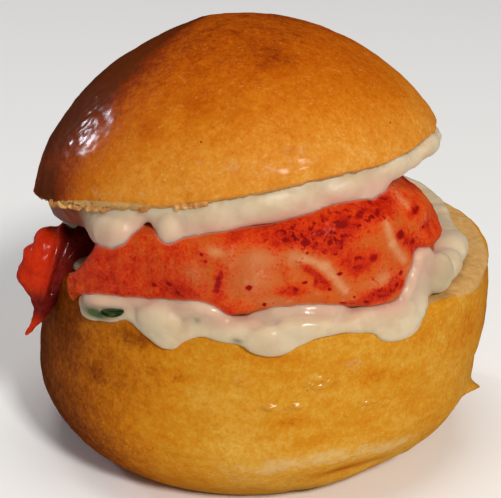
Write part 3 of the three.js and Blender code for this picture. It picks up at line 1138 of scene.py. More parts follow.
        # The sides' term darkens the left as browning and painted shade together.
        bake = self.bake + self.high_bake * smooth(heights, 4, 28) + bumped(self.sides_bake, angles)
        bake = np.where(part == 0, self.base_bake, bake + blotched(self.browned, angles, heights))
        torn = self.bare.over(angles, heights)
        crust = np.where(part == 2, 0.0, 1 - smooth(torn, 0.2, 0.9))
        flour = blotched(self.floury, angles, heights)
        gloss = 0.1 + 2.2 * blotched(self.wrinkled, angles, heights)
        outer = smooth(np.hypot(rings[..., 0], rings[..., 1]), 29, 32.5)
        rings[..., 2] -= 0.7 * np.clip(torn, 0, 1) * outer
        loose = smooth(heights, 0.2, 2.5)
        return closed_skin("roll_heel", self.bent(rings), bake=bake, crust=crust, loose=loose, gloss=gloss,
                           flour=flour)


@dataclass
class Crown(Skinned):
    """The upper half of the roll. Its own frame has the cut face at Z = 0."""

    height: float = 19.9
    radius: float = 29.3
    shoulder_power: float = 1.95
    dome_power: float = 1.45
    rim_round: float = 0.5
    flats: tuple[Bump, ...] = ((190, 55, 1.1), (4, 30, 0.5))
    sags: tuple[Bump, ...] = ((252, 56, 0.75), (314, 12, 0.95), (327, 5, 0.35), (342, 8, 0.7), (191, 17, 0.7))
    slump: Bump = (155.0, 35.0, 0.8)  # where the shoulder sinks
    centre: Triple = (-1.8, 0.0, 42.9)
    front_up: float = 6.6
    right_up: float = 9.0
    waves: tuple[Wave, ...] = (Wave(2, 0.004, 100), Wave(3, 0.006, 200), Wave(4, 0.003, 10))
    browned: tuple[Blotch, ...] = rows_of(
        Blotch,
        (296, 14.6, 8, 1.4, 0.16), (262, 11, 6, 2, 0.1), (246, 8.6, 4, 1.5, 0.16), (330, 8, 14, 4, 0.1),
        (205, 0.6, 16, 3.2, 0.34),
    )
    floury: tuple[Blotch, ...] = rows_of(
        Blotch,
        (285, 3, 22, 2.6, 0.3), (322, 6, 12, 4, 0.22), (262, 4.6, 10, 2.4, 0.2), (236, 1.4, 24, 1.5, 0.34),
    )
    wrinkled: tuple[Blotch, ...] = rows_of(
        Blotch,
        (271, 3.4, 5, 1.2, 0.12), (255, 17.1, 3, 0.35, 0.3), (236.4, 17.3, 3, 0.3, 0.24),
        (210, 12.3, 1.4, 0.4, 0.24), (212, 9, 7, 5, 0.15), (268, 8.6, 4, 0.9, 0.07),
        (293, 1.9, 4, 0.9, 0.12),
    )
    torn: Blotch = Blotch(230, -0.4, 22.0, 1.1, 1.1)
    bake: float = 0.2
    top_bake: float = 0.5  # how much more the top is baked
    back_bake: Bump = (112, 74, 0.34)
    # The left is darker, as browning and painted shade together.
    left_bake: Bump = (184, 46, 0.42)
    left_high_bake: float = 0.14  # how much darker the left is higher up, from browning and painted shade
    gloss: float = 0.1
    left_gloss: Bump = (206, 30, 1.0)
    front_gloss: Bump = (268, 24, 0.3)
    columns: int = 440
    cut_rows: int = 40
    dome_rows: int = 124
    grain: Grain = Grain(swell=(12.0, 0.26), fold=(2.4, 0.1), pore=(1.2, 0.45), flatten=1.3)

    def rim(self, angles: Array) -> Array:
        """The rim's radius at angles."""
        return self.radius * unevenness(self.waves, angles)

    def placed(self, points: Array) -> Array:
        """Takes points from the crown's frame to the sandwich's.

        Args:
            points: (..., 3) places in the crown's frame.

        Returns:
            Their places in the sandwich.
        """
        pitch = Matrix.Rotation(math.radians(-self.front_up), 3, "X")
        roll = Matrix.Rotation(math.radians(-self.right_up), 3, "Y")
        return points @ np.array(pitch @ roll).T + np.array(self.centre)

    def beside_rim(self, angle: float, out: float, up: float) -> Array:
        """The point so far outside the rim and over the cut face, at an angle."""
        rim = float(self.rim(np.array(angle)))
        return self.placed(polar(np.array(rim + out), np.array(angle), np.array(up)))

    def rings(self) -> tuple[Array, Array]:
        """The skin in the crown's frame.

        Returns:
            The skin's rings, and which part each ring is on: 1 the dome and 0 the cut face.
        """
        angles = round_angles(self.columns)
        rim = self.rim(angles)
        ragged = np.cos(np.radians(angles * 23 + 60 * np.cos(np.radians(angles * 7))))
        ragged = 0.2 * ragged + 0.1 * np.cos(np.radians(angles * 61)) + 0.07 * np.cos(np.radians(angles * 97))
        ragged = ragged * (0.2 + 0.8 * bell(angles, self.torn.at, self.torn.wide))
        sag = bumped(self.sags, angles)
        rows, parts = [], []
        for share in np.linspace(0, 1, self.cut_rows) ** 0.8:
            drop = 0.8 * ragged * share**8 - sag * share**12
            rows.append(polar((rim - self.rim_round) * share, angles, drop))
            parts.append(0)
        for slope in np.linspace(0, 90, self.dome_rows):
            turn = math.radians(slope)
            flat = bumped(self.flats, angles) * math.sin(2 * turn)
            out = rim * fuller(np.array(math.cos(turn)), self.shoulder_power) - flat
            rise = fuller(np.array(math.sin(turn)), self.dome_power)
            up = self.rim_round + (self.height - self.rim_round) * rise
            fade = max(0.0, 1 - up / 2.0)
            slumped = bumped([self.slump], angles) * np.exp(-(((out - 9) / 6) ** 2)) * smooth(out, 0, 3)
            low = sag * max(0.0, 1 - up / 9.0) ** 2 + slumped
            level = np.full(self.columns, up)
            raised = crinkle(self.wrinkled, angles, level)
            rows.append(polar(out + raised + ragged * fade, angles, level + 0.8 * ragged * fade - low))
            parts.append(1)
        return np.stack(rows), np.array(parts)

    def skin(self) -> Object:
        """The painted skin, before its relief.

        Returns:
            The new object.
        """
        rings, parts = self.rings()
        angles = round_angles(self.columns)
        heights = rings[..., 2]
        high = heights / self.height
        bake = self.bake + self.top_bake * smooth(high, 0.0, 1.02) + bumped([self.back_bake], angles)
        # The left's darkening: browning and painted shade together.
        left, wide, more = self.left_bake
        shaded = smooth(bell(angles, left, wide), 0.1, 0.8)
        bake = bake + shaded * (more + self.left_high_bake * smooth(high, 0.0, 0.45))
        bake = bake + blotched(self.browned, angles, heights)
        torn = self.torn.over(angles, heights)
        crust = np.where(parts[:, None] == 1, 1 - smooth(torn, 0.35, 0.8), 0.0)
        upper = smooth(high, 0.14, 0.3) * smooth(-high, -0.9, -0.6)
        gloss = self.gloss + bumped([self.left_gloss], angles) * upper
        gloss = gloss + 2.4 * blotched(self.wrinkled, angles, heights)
        gloss = gloss + bumped([self.front_gloss], angles) * smooth(-high, -0.4, -0.1)
        flour = blotched(self.floury, angles, heights)
        return closed_skin("roll_crown", self.placed(rings), bake=bake, crust=crust, loose=np.ones_like(bake),
                           gloss=gloss, flour=flour)


# ---- The lobster ----


@dataclass(frozen=True)
class Station:
    """One section of the claw.

    It has a place along X, its thickest place (y, z), half its height, and its reach to the front and back.
    """

    at: float
    crest: tuple[float, float]
    half: float
    front: float
    back: float


@dataclass(frozen=True)
class Patch:
    """A patch on the lobster's face: its middle, half its width and half its height, and its strength."""

    x: float
    z: float
    wide: float
    tall: float
    strength: float

    def over(self, points: Array) -> Array:
        """The patch's share at each point."""
        across, up = (points[..., 0] - self.x) / self.wide, (points[..., 2] - self.z) / self.tall
        return self.strength * np.exp(-(across**2 + up**2))


@dataclass(frozen=True)
class Streak:
    """A line on the lobster's face from one place to another: half its width, and its strength."""

    x: float
    z: float
    to_x: float
    to_z: float
    wide: float
    strength: float

    def over(self, points: Array) -> Array:
        """The streak's share at points.

        Args:
            points: (..., 3) places.

        Returns:
            The share at each.
        """
        start = np.array((self.x, self.z))
        run = np.array((self.to_x, self.to_z)) - start
        flat = points[..., [0, 2]]
        share = np.clip(((flat - start) @ run) / (run @ run), 0, 1)
        off = np.linalg.norm(flat - (start + share[..., None] * run), axis=-1)
        return self.strength * np.exp(-((off / self.wide) ** 2))


Marks = tuple[Patch | Streak, ...]


def marks(*rows: tuple) -> Marks:
    """Makes a patch from each row of five numbers, and a streak from each row of six."""
    return tuple(Patch(*row) if len(row) == 5 else Streak(*row) for row in rows)


def total(drawn: Marks, points: Array) -> Array:
    """The sum of the marks' shares at each point."""
    return sum(mark.over(points) for mark in drawn)


@dataclass
class Claw(Skinned):
    """The large flat piece of claw meat."""

    stations: tuple[Station, ...] = rows_of(
        Station,
        (-24.6, (-19.4, 30.45), 0.95, 1.2, 2), (-23.4, (-19.6, 30.75), 1.35, 1.9, 3.5),
        (-21.9, (-20, 31.5), 2.3, 2.7, 6), (-20.3, (-20.4, 32.6), 3.7, 3.4, 10),
        (-18, (-20.9, 34.1), 4.9, 4.2, 16), (-14.5, (-21.6, 35.1), 5.4, 5.4, 24),
        (-6.6, (-24, 35.6), 5.6, 6.7, 37), (2.3, (-24.2, 36.2), 6.3, 7.4, 43),
        (11.2, (-23, 37.1), 7.5, 8, 43), (20.1, (-18.6, 36.9), 8.8, 8.8, 36), (25.3, (-14, 36.2), 8, 9, 22),
    )
    nose_power: float = 3.5
    tail_power: float = 2.1
    end_power: float = 4.6
    tip_round: float = 1.0
    sink: float = 4.0
    lumps: Marks = marks(
        (-1.6, 30.6, 2.6, 2, 1.7), (18, 30.8, 4, 2.2, 2.3), (24, 37.5, 2.6, 4, 0.8),
        (16.4, 44.4, 2.4, 1.5, -2.4), (-21, 34.5, 3, 3, 0.3), (19.8, 43.6, 22.4, 36, 0.7, -1),
        (22.4, 36, 26, 35, 0.6, -0.6), (6.5, 36.8, 12, 32.6, 0.8, -0.3), (-24, 30.9, -18, 33.6, 0.5, -0.45),
        (-21.8, 34, -17.6, 37.4, 0.5, -0.35), (-12, 30.5, -4, 39, 1.2, -0.2),
    )
    pigment: Marks = marks(
        (-19, 34, 10, 9, 0.7), (-9, 38.5, 3.5, 3, 0.35), (-8, 33, 4, 1.6, 0.5), (-5.5, 38.3, 1, 1.3, 0.4),
        (-3.2, 37, -3.8, 33.4, 0.9, 0.5), (-2.5, 40.6, 1.6, 1.2, 0.45), (-1, 41.4, 4, 41.6, 1.3, 0.55),
        (4, 41.6, 17, 43.4, 2.1, 0.85), (10, 40.4, 14, 37.2, 1.8, 0.6), (14.3, 36.8, 1.7, 1.4, 0.6),
        (16.2, 37.6, 1.2, 1.2, 0.5), (4.6, 37, 1, 0.7, 0.35), (7.6, 37.2, 10, 34.8, 0.8, 1),
        (5.6, 34.2, 2, 0.85, 1), (2.4, 37.2, 1.2, 0.8, 0.4), (9.6, 41, 4, 1.6, 0.35),
        (-9.4, 34, 2.4, 1.4, 0.35), (8.8, 34.7, 10.7, 34, 0.45, 0.6), (15.2, 31.9, 19.9, 33, 1, 1.1),
        (12, 31.7, 15.4, 31.5, 0.35, 0.7), (-2, 31.4, 2.2, 1.3, 0.6), (1.6, 33.2, 1.6, 1.4, 0.3),
        (19.8, 39.7, 22.2, 36.7, 0.95, 0.8), (19.2, 35, 1.3, 1.6, 0.32), (21.8, 41.9, 1.1, 1.3, 0.8),
        (19.6, 43.6, 1.8, 1.6, 0.55), (23.4, 39.4, 1, 1.6, 0.45), (25, 38, 2, 4, 0.5),
    )
    crowded: Marks = marks(
        (4, 41.2, 17, 42.8, 1.7, 0.75), (11, 39.8, 14, 37.4, 1.2, 0.5), (15.4, 31.8, 19.7, 33.1, 0.8, 0.4),
        (5.8, 34.4, 1.8, 0.7, 0.35), (20, 39.4, 22, 36.9, 0.7, 0.5), (19.2, 35, 1.3, 1.6, 0.3),
        (6, 38, 3.4, 1.8, 0.3), (15, 34.2, 3, 1.4, 0.3),
    )
    spotted: Marks = marks(
        (-14.6, 36.7, 0.35, 0.35, 0.8), (-12, 33.6, 0.45, 0.4, 1.1), (-10.1, 34.1, 0.5, 0.45, 1),
        (-8.9, 33.1, 0.45, 0.4, 0.9), (-5.7, 38.8, 0.4, 0.4, 0.9), (-5.2, 37.9, 0.35, 0.4, 0.8),
        (-3.3, 36.4, -3.9, 34.2, 0.6, 0.75), (0.2, 34.6, 0.55, 0.5, 1.2), (2.2, 32.2, 0.35, 0.4, 1.1),
        (3.4, 32.4, 0.2, 0.2, 0.8), (4.9, 40.9, 0.6, 0.35, 1.1), (5.7, 42.2, 0.45, 0.35, 0.8),
        (7.4, 40.6, 0.7, 0.5, 1.2), (9.2, 41.7, 1, 0.6, 0.8), (10.5, 40.4, 0.5, 0.5, 1),
        (12.1, 41.1, 0.4, 0.35, 1), (12.1, 42.5, 1, 0.6, 1.1), (14.3, 43.1, 0.8, 0.5, 0.8),
        (16.7, 42.9, 0.5, 0.5, 1), (7.6, 39.3, 0.35, 0.3, 0.8), (4.4, 38.4, 0.3, 0.3, 0.7),
        (11.8, 36.1, 0.55, 0.35, 1.1), (13.9, 38.2, 0.3, 0.25, 0.7), (16.2, 37.6, 0.75, 0.65, 1),
        (14.4, 36.6, 0.8, 0.7, 0.6), (19.9, 39.7, 0.6, 0.6, 1.3), (21.6, 38, 0.4, 0.6, 0.9),
        (22.5, 36.2, 0.35, 0.4, 0.9), (21.9, 34.6, 0.25, 0.55, 0.9), (20.1, 34.3, 0.35, 0.5, 1),
        (15.9, 35, 17.2, 33.6, 0.3, 0.6), (13.8, 32.5, 0.4, 0.22, 0.8), (12.3, 31.8, 0.6, 0.2, 0.9),
        (15.4, 31.7, 0.5, 0.3, 1), (17.3, 32.2, 0.35, 0.3, 0.9), (19.7, 32.9, 0.35, 0.4, 1),
        (7.4, 35.2, 0.45, 0.28, 1.1), (6.2, 34.3, 0.5, 0.45, 0.8), (10.5, 34.1, 0.35, 0.3, 1),
        (21.9, 41.9, 0.6, 0.5, 0.9), (23.1, 39.5, 0.3, 0.3, 1),
    )
    whitened: Marks = marks(
        (7.2, 38.6, 9.9, 37.3, 0.55, 1), (9.9, 37.3, 12.6, 33.6, 0.6, 1), (6, 38.7, 0.9, 1.1, 0.8),
        (-3.9, 39.2, 1.3, 0.6, 0.8), (1.8, 38.6, 2, 1, 0.5), (1.4, 36.2, 2.2, 2.4, 0.4),
        (17.6, 33.9, 2.2, 0.8, 0.35), (17.8, 41.8, 18.7, 38.9, 0.5, 0.9),
        (18.7, 38.9, 20.5, 35.9, 0.45, 0.9), (18.8, 44.6, 21, 42.6, 0.35, 0.7), (17.6, 34.5, 1, 0.7, 0.5),
        (3.6, 32.6, 2.4, 0.8, 0.4), (-6.8, 36.2, 1.2, 1.2, 0.35),
    )
    glossy: Marks = marks(
        (-21.5, 33, 4, 5, 1.2), (-2, 35.4, 2.6, 2.6, 1.2), (-6.5, 35, 2.6, 2.2, 0.8),
        (17.6, 31.6, 4, 1.2, 1), (8, 38.9, 1.6, 0.8, 0.5),
    )
    fringe: tuple[Patch, ...] = (Patch(25.4, 37.2, 3.0, 1.3, 1.1), Patch(24.0, 41.4, 2.6, 1.2, 0.35))
    redness: float = 0.17
    spots: float = 0.16
    gloss: float = 0.03
    rings_count: int = 300
    columns: int = 250
    grain: Grain = Grain(swell=(6.0, 0.35), fold=(1.8, 0.16))

    def rings(self) -> Array:
        """The skin's rings along the claw's run.

        Returns:
            The rings, (rings, columns, 3).
        """
        slope = np.linspace(0, math.pi, self.rings_count)
        along = (1 - np.cos(slope)) / 2
        start, end = self.stations[0].at, self.stations[-1].at
        reach = (end - start) * along
        values = between([(s.at, *s.crest, s.half, s.front, s.back) for s in self.stations], start + reach)
        crest_y, crest_z, half, front, back = (values[:, i, None] for i in range(5))
        # Two thirds of the columns go to the nose, which is what shows.
        share = np.arange(self.columns) / self.columns
        turn = np.where(share < 2 / 3, 90 + 180 * share * 1.5, 270 + 180 * (share - 2 / 3) * 3)
        turn = np.radians(turn)[None, :]
        in_tail = np.cos(turn) > 0
        tip = np.sqrt(1 - (1 - np.clip(reach / self.tip_round, 0, 1)) ** 2)
        closed = np.where(along < 0.5, tip, np.abs(np.sin(slope)) ** (2 / self.end_power))[:, None]
        out = np.where(in_tail, fuller(np.cos(turn), self.tail_power), fuller(np.cos(turn), self.nose_power))
        up = np.where(in_tail, fuller(np.sin(turn), self.tail_power), fuller(np.sin(turn), self.nose_power))
        x = (start + reach)[:, None] * np.ones_like(turn)
        y = crest_y + closed * out * np.where(in_tail, back, front)
        z = crest_z + closed * (up * half - np.where(in_tail, self.sink * out, 0))
        return np.stack([x, y, z], axis=-1)

    def skin(self) -> Object:
        """The painted skin, before its relief.

        Returns:
            The new object.
        """
        rings = self.rings()
        front = smooth(-rings[..., 1], -2.0, 8.0)
        push = total(self.lumps, rings) * front
        push[[0, -1]] = push[[0, -1]].mean(axis=1, keepdims=True)
        pale = total(self.whitened, rings)
        redness = self.redness + total(self.pigment, rings) - 0.5 * pale
        spots, dark = self.spots + total(self.crowded, rings), total(self.spotted, rings)
        gloss = self.gloss + total(self.glossy, rings)
        rings[..., 1] -= 0.8 * push
        rings[..., 0] += total(self.fringe, rings)
        ones = np.ones_like(redness)
        return closed_skin("lobster_claw_meat", rings, wet=0 * ones, crust=ones, loose=ones, redness=redness,
                           spots=spots, dark=dark, pale=pale, gloss=gloss)


@dataclass
class Knuckle(Skinned):
    """The knuckle meat that hangs over the rim at the left and ends in a hook."""

    path: tuple[Triple, ...] = (
        (-13, -3, 32.2), (-21, -7, 31.6), (-26.5, -9.6, 30), (-28.4, -11.2, 27.3), (-28.7, -12.5, 24.9),
        (-29.3, -13.1, 22.9), (-31.4, -13.2, 19.9),
    )
    radii: tuple[float, ...] = (3.2, 3.9, 4.9, 4.1, 2.2, 1.3, 0.8)
    flatness: float = 0.72
    side: Triple = (0.5, -0.86, 0.0)
    lumps: Marks = marks(
        (-28.8, 33.8, 1.3, 1.3, 0.7), (-31.6, 32, 1, 0.8, 0.7), (-30.9, 33.2, 0.8, 0.7, -0.9),
        (-32.4, 30.6, 0.8, 0.7, -0.6), (-32, 28.4, 1.4, 1.6, 0.5), (-25.6, 35.6, -28.6, 25.6, 0.5, 0.55),
        (-24.6, 35, -27.4, 26.4, 0.5, -0.5), (-22, 34, -25.6, 30.6, 0.4, 0.5),
    )
    redness: float = 1.1
    gloss: float = 0.1
    rings_count: int = 170
    columns: int = 130
    grain: Grain = Grain(swell=(4.0, 0.35), fold=(1.4, 0.14))

    def rings(self) -> Array:
        """The skin's rings along the knuckle's path.

        Returns:
            The rings, (rings, columns, 3).
        """
        slope = np.linspace(0, math.pi, self.rings_count)
        along = (1 - np.cos(slope)) / 2
        middle = follow(self.path, along)
        ahead = follow(self.path, along + 1e-3) - follow(self.path, along - 1e-3)
        ahead /= np.linalg.norm(ahead, axis=1, keepdims=True)
        across = np.cross(np.array(self.side), ahead)
        across /= np.linalg.norm(across, axis=1, keepdims=True)
        out = np.cross(ahead, across)
        radius = follow([(r,) for r in self.radii], along)[:, 0] * np.sin(slope)
        turn = np.radians(round_angles(self.columns))
        wide = (radius[:, None] * np.cos(turn))[..., None] * across[:, None]
        deep = (radius[:, None] * np.sin(turn) * self.flatness)[..., None] * out[:, None]
        rings = middle[:, None] + wide + deep
        grown = rings - middle[:, None]
        size = np.linalg.norm(grown, axis=-1, keepdims=True)
        push = total(self.lumps, rings)[..., None] * smooth(size, 0.3, 1.5)
        return rings + grown / np.maximum(size, 1e-6) * push

    def skin(self) -> Object:
        """The painted skin, before its relief.

        Returns:
            The new object.
        """
        rings = self.rings()
        border = -27.3 + 0.22 * (rings[..., 2] - 31)
        wet = 0.85 * smooth(rings[..., 0] - border, -0.5, 1.3)
        down = -rings[..., 2]
        band = smooth(down, -28.0, -25.4) * (1 - smooth(down, -24.2, -21.6))
        wet = np.clip(wet + 0.85 * band * smooth(rings[..., 0], -32, -29.4), 0, 0.9)
        ones = np.ones_like(wet)
        return closed_skin("lobster_knuckle_meat", rings, redness=self.redness * ones, wet=wet,
                           gloss=self.gloss + wet, crust=ones, loose=ones)


# ---- The mayonnaise ----


class Side(Enum):
    """Which cut face a layer of mayonnaise is spread on."""

    HEEL = 1
    CROWN = -1


@dataclass(frozen=True)
class Hem:
    """The mayonnaise's edge at an angle: how far it hangs under the cut face and stands past the rim."""

    at: float
    hang: float
    out: float


@dataclass(frozen=True)
class Lap:
    """How far over the cut face the mayonnaise laps up the lobster at an angle."""

    at: float
    up: float


@dataclass(frozen=True)
class Dollop:
    """A lump of mayonnaise beside a rim.

    It has an angle, a place outside the rim and over the cut face, and half its length along the rim, its
    depth from the rim outwards and its height. Its green share is how much herb shows through it.
    """

    at: float
    out: float
    up: float
    half: Triple
    green: float = 0.0


COARSE, FINE = 2, 4  # how finely a ball is divided


def ball(steps: int) -> tuple[Array, Array]:
    """A unit ball.

    Args:
        steps: how finely it is divided.

    Returns:
        Its points and its triangles.
    """
    shape = bmesh.new()
    bmesh.ops.create_icosphere(shape, subdivisions=steps, radius=1.0)
    points = np.array([v.co[:] for v in shape.verts])
    faces = np.array([[v.index for v in f.verts] for f in shape.faces])
    shape.free()
    return points, faces


@dataclass
class Mayonnaise:
    """A layer of mayonnaise: a slab on a cut face, a curtain from its crest to its hem, and dollops.

    Lumps are piled up, melted into one skin, and cut clear of what they lie against.
    """

    name: str
    side: Side
    half_of_roll: Heel | Crown
    hems: tuple[Hem, ...]
    laps: tuple[Lap, ...]
    dollops: tuple[Dollop, ...]
    crest_round: float
    hem_round: float
    crest_up: float
    crest_in: float
    insets: tuple[Bump, ...]  # where the crest is further in
    dips: tuple[Bump, ...]  # where it is nearer to the cut face
    slab: float
    stains: tuple[Blotch, ...] = ()  # where a herb shows through: its height counts from the cut face
    shaded_side: Bump = (0.0, 1.0, 0.0)  # where a brown painted shade lies
    crest_step: float = 1.8  # the angle from one chain of balls to the next
    chain_step: float = 0.9  # the most from one ball of a chain to the next
    inwards: Triple = (2.4, 28.0, 1.6)  # the slab's rows: first, last and step
    voxel: float = 0.34
    melt: int = 16
    soften: int = 8
    seed: int = 5
    grain: Grain = Grain(swell=(4.5, 0.1), fold=(2.0, 0.015))

    def _place(self, angle: float, out: float, up: float) -> Array:
        """A point beside the rim of this layer's half of the roll."""
        return self.half_of_roll.beside_rim(angle, out, up)

    def _read(self, stops: Sequence[Hem | Lap], name: str, angle: float) -> float:
        """A size between the stops round the rim, at an angle."""
        angles, values = np.array(sorted((stop.at % 360, getattr(stop, name)) for stop in stops)).T
        return float(np.interp(angle % 360, angles, values, period=360))

    def _crest_at(self, angle: float) -> Array:
        """Where the crest is.

        Args:
            angle: the angle round the rim.

        Returns:
            Its middle.
        """
        inset = self.crest_in + float(bumped(self.insets, np.array(angle)))
        up = self.crest_up - float(bumped(self.dips, np.array(angle)))
        return self._place(angle, -inset - self.crest_round, self.side.value * up)

    def _hem_at(self, angle: float) -> Array:
        """The middle of the hem at an angle."""
        out, hang = self._read(self.hems, "out", angle), self._read(self.hems, "hang", angle)
        return self._place(angle, out - self.hem_round, -hang + self.hem_round)

    def _lap_at(self, angle: float, lobster: BVHTree) -> Array | None:
        """Where the mayonnaise's top edge lies on the lobster at an angle.

        Args:
            angle: the angle round the rim.
            lobster: the claw.

        Returns:
            The point, or None where the mayonnaise doesn't lap up.
        """
        first, last = self.laps[0].at, self.laps[-1].at
        if not first <= angle <= last:
            return None
        up = self._read(self.laps, "up", angle) - self.hem_round
        for higher in (0.0, 0.6, 1.2, 1.8):
            outside, inside = self._place(angle, 12.0, up + higher), self._place(angle, -25.0, up + higher)
            toward = Vector(inside - outside).normalized()
            hit, _, _, _ = lobster.ray_cast(Vector(outside * MM), toward)
            if hit is not None:
                return np.array(hit) / MM - np.array(toward) * 0.15 - np.array([0.0, 0.0, higher])
        return None

    def _touch(self, hem: Array, angle: float, lobster: BVHTree, reach: float = 9.0) -> Array | None:
        """Where the hem of an upper layer meets the lobster behind it.

        Args:
            hem: the middle of the hem.
            angle: the angle round the rim.
            lobster: the claw.
            reach: how far it looks, in millimetres.

        Returns:
            The point, or None where there's no lobster behind the hem.
        """
        toward = Vector(self._place(angle, -10.0, 0.0) - self._place(angle, 0.0, 0.0)).normalized()
        hit, _, _, _ = lobster.ray_cast(Vector(hem * MM), toward, reach * MM)
        return None if hit is None else np.array(hit) / MM

    def _chain(self, start: Array, end: Array, rounds: tuple[float, float]) -> list[Array]:
        """Balls (x, y, z, radius) along a line."""
        shares = np.linspace(0, 1, max(2, int(np.linalg.norm(end - start) / self.chain_step) + 1))
        return [np.append(start + (end - start) * t, rounds[0] + (rounds[1] - rounds[0]) * t) for t in shares]

    def _mass(self, lobster: BVHTree) -> Array:
        """Lays the balls of the slab and the curtain.

        Args:
            lobster: the claw.

        Returns:
            The balls' rows of x, y, z and radius.
        """
        random = np.random.default_rng(self.seed)
        balls = []
        for angle in np.arange(0, 360, self.crest_step):
            crest, hem = self._crest_at(angle), self._hem_at(angle)
            swell = 1 + 0.05 * random.standard_normal()
            balls += self._chain(crest, hem, (self.crest_round * swell, self.hem_round * swell))
            if self.side is Side.HEEL:
                lap = self._lap_at(angle, lobster)
                balls += [] if lap is None else self._chain(lap, crest, (self.hem_round, self.crest_round))
            else:
                lap = self._touch(hem, angle, lobster)
                balls += [] if lap is None else self._chain(hem, lap, (self.hem_round, self.hem_round))
        up = self.slab / 2 - 0.3
        for inward in np.arange(*self.inwards):
            for angle in np.arange(0, 360, 2.2 + inward / 6):
                base = self._crest_at(angle)
                middle = self._place(angle, -28.0, self.side.value * up)
                place = base + normalised(middle - base) * inward
                level = self._place(angle, -10.0, self.side.value * (up + 0.15 * random.random()))
                place[2] = level[2] + (place[2] - base[2]) * 0.2
                balls.append(np.append(place, self.slab / 2 + 0.5))
        return np.array(balls)

    def _shape_of(self, dollop: Dollop, unit: Array) -> Array:
        """Shapes a dollop.

        Args:
            dollop: the dollop.
            unit: a unit ball's points.

        Returns:
            The dollop's points.
        """
        middle = self._place(dollop.at, dollop.out, self.side.value * dollop.up)
        nearby = self._place(dollop.at + 1, dollop.out, self.side.value * dollop.up)
        inside = self._place(dollop.at, dollop.out - 1, self.side.value * dollop.up)
        along, outwards = normalised(nearby - middle), normalised(middle - inside)
        upwards = np.cross(outwards, along)
        length, depth, height = dollop.half
        return middle + unit @ np.stack([along * length, outwards * depth, upwards * height])

    def build(self, relief: Relief, sieve: Sieve, finish: Material, claw: Object,
              others: Sequence[Object]) -> Object:
        """Makes the layer.

        Args:
            relief: the relief tree.
            sieve: the tree that drops specks.
            finish: the mayonnaise's material.
            claw: the claw, which it laps against and takes its blush from.
            others: the other pieces that it lies against.

        Returns:
            The new object.
        """
        lobster = tree_of(claw)
        unit, faces = ball(COARSE)
        balls = self._mass(lobster)
        points = (balls[:, None, :3] + unit[None] * balls[:, None, 3:]).reshape(-1, 3)
        triangles = (faces[None] + np.arange(len(balls))[:, None, None] * len(unit)).reshape(-1, 3)
        obj = melt(piled(self.name, points, triangles), self.voxel, self.melt)
        unit, faces = ball(FINE)
        points = np.vstack([self._shape_of(dollop, unit) for dollop in self.dollops])
        triangles = np.vstack([faces + i * len(unit) for i in range(len(self.dollops))])
        add_lumps(obj, points, triangles)
        melt(obj, self.voxel, self.soften)
        paint_whole(obj, "crust", "loose")
        relief.raise_on(obj, finish, self.grain)
        for other in (claw, *others):
            cut_clear(obj, other)
        sieve.shake(obj, finish)
        self._tint(obj, lobster)
        return obj

    def _tint(self, obj: Object, lobster: BVHTree, reach: float = 1.7) -> None:
        """Paints "blush" near the lobster, painted shade in dips, "green" over herb and a brown painted shade
        on one side.

        Args:
            obj: the layer.
            lobster: the claw.
            reach: how far from the claw the blush fades, in millimetres.
        """
        points = points_of(obj)
        # Painted shade in the dips.
        paint(obj, "dip_shade", hollows(obj))
        gaps = np.array([lobster.find_nearest(Vector(p * MM))[3] for p in points]) / MM
        paint(obj, "blush", np.exp(-((gaps / reach) ** 2)))
        green = np.zeros(len(points))
        for dollop in self.dollops:
            if dollop.green:
                middle = self._place(dollop.at, dollop.out, self.side.value * dollop.up)
                far = np.linalg.norm(points - middle, axis=1) / max(dollop.half)
                green += dollop.green * np.exp(-(far**2))
        for stain in self.stains:
            middle, nearby = (self._place(at, 0.5, stain.high) for at in (stain.at, stain.at + 1))
            off = points - middle
            along = off @ (nearby - middle) / np.linalg.norm(nearby - middle)
            near = np.linalg.norm(off, axis=1) < 6
            fade = np.exp(-((along / stain.wide) ** 2) - (off[:, 2] / stain.tall) ** 2)
            green += stain.strength * near * fade
        paint(obj, "green", green)
        # A brown painted shade round the shaded side, where the layer lies in shadow.
        centre = self._place(0.0, 0.0, 0.0) + self._place(180.0, 0.0, 0.0)
        turned = np.degrees(np.arctan2(points[:, 1] - centre[1] / 2, points[:, 0] - centre[0] / 2))
        paint(obj, "shade_brown", bumped([self.shaded_side], turned))


def melt(obj: Object, voxel: float, times: int) -> Object:
    """Melts an object's overlapping lumps into one soft skin.

    Args:
        obj: the object.
        voxel: the size of the new skin's faces, in millimetres.
        times: how many times it is softened.

    Returns:
        The same object.
    """
    melted = obj.modifiers.new("melt", "REMESH")
    melted.mode = "VOXEL"
    melted.voxel_size = voxel * MM
    melted.use_smooth_shade = True
    return softened(obj, times)


def softened(obj: Object, times: int) -> Object:
    """Softens an object's skin, after its other modifiers.

    Args:
        obj: the object.
        times: how many times it is softened.

    Returns:
        The same object.
    """
    soft = obj.modifiers.new("soften", "SMOOTH")
    soft.factor = 0.5
    soft.iterations = times
    return baked(obj)


def hollows(obj: Object, times: int = 24) -> Array:
    """How deep each point of a skin lies in a dip.

    Args:
        obj: the object.
        times: how many times the skin it is held against is softened.

    Returns:
        How far softening would move each point out, in millimetres.
    """
    copy = softened(new_object("soft", obj.data.copy()), times)
    deep = ((points_of(copy) - points_of(obj)) * normals_of(obj)).sum(axis=1)
    bpy.data.objects.remove(copy)
    return deep


def tree_of(obj: Object) -> BVHTree:
    """An object's mesh, ready for rays and nearest points."""
    return BVHTree.FromObject(obj, bpy.context.evaluated_depsgraph_get())


def piled(name: str, points: Array, triangles: Array) -> Object:
    """Makes an object of loose triangles.

    Args:
        name: its name.
        points: its points, in millimetres.
        triangles: its triangles.

    Returns:
        The new object.
    """
    mesh = bpy.data.meshes.new(name)
    mesh.from_pydata((points * MM).tolist(), [], triangles.tolist())
    return new_object(name, mesh)


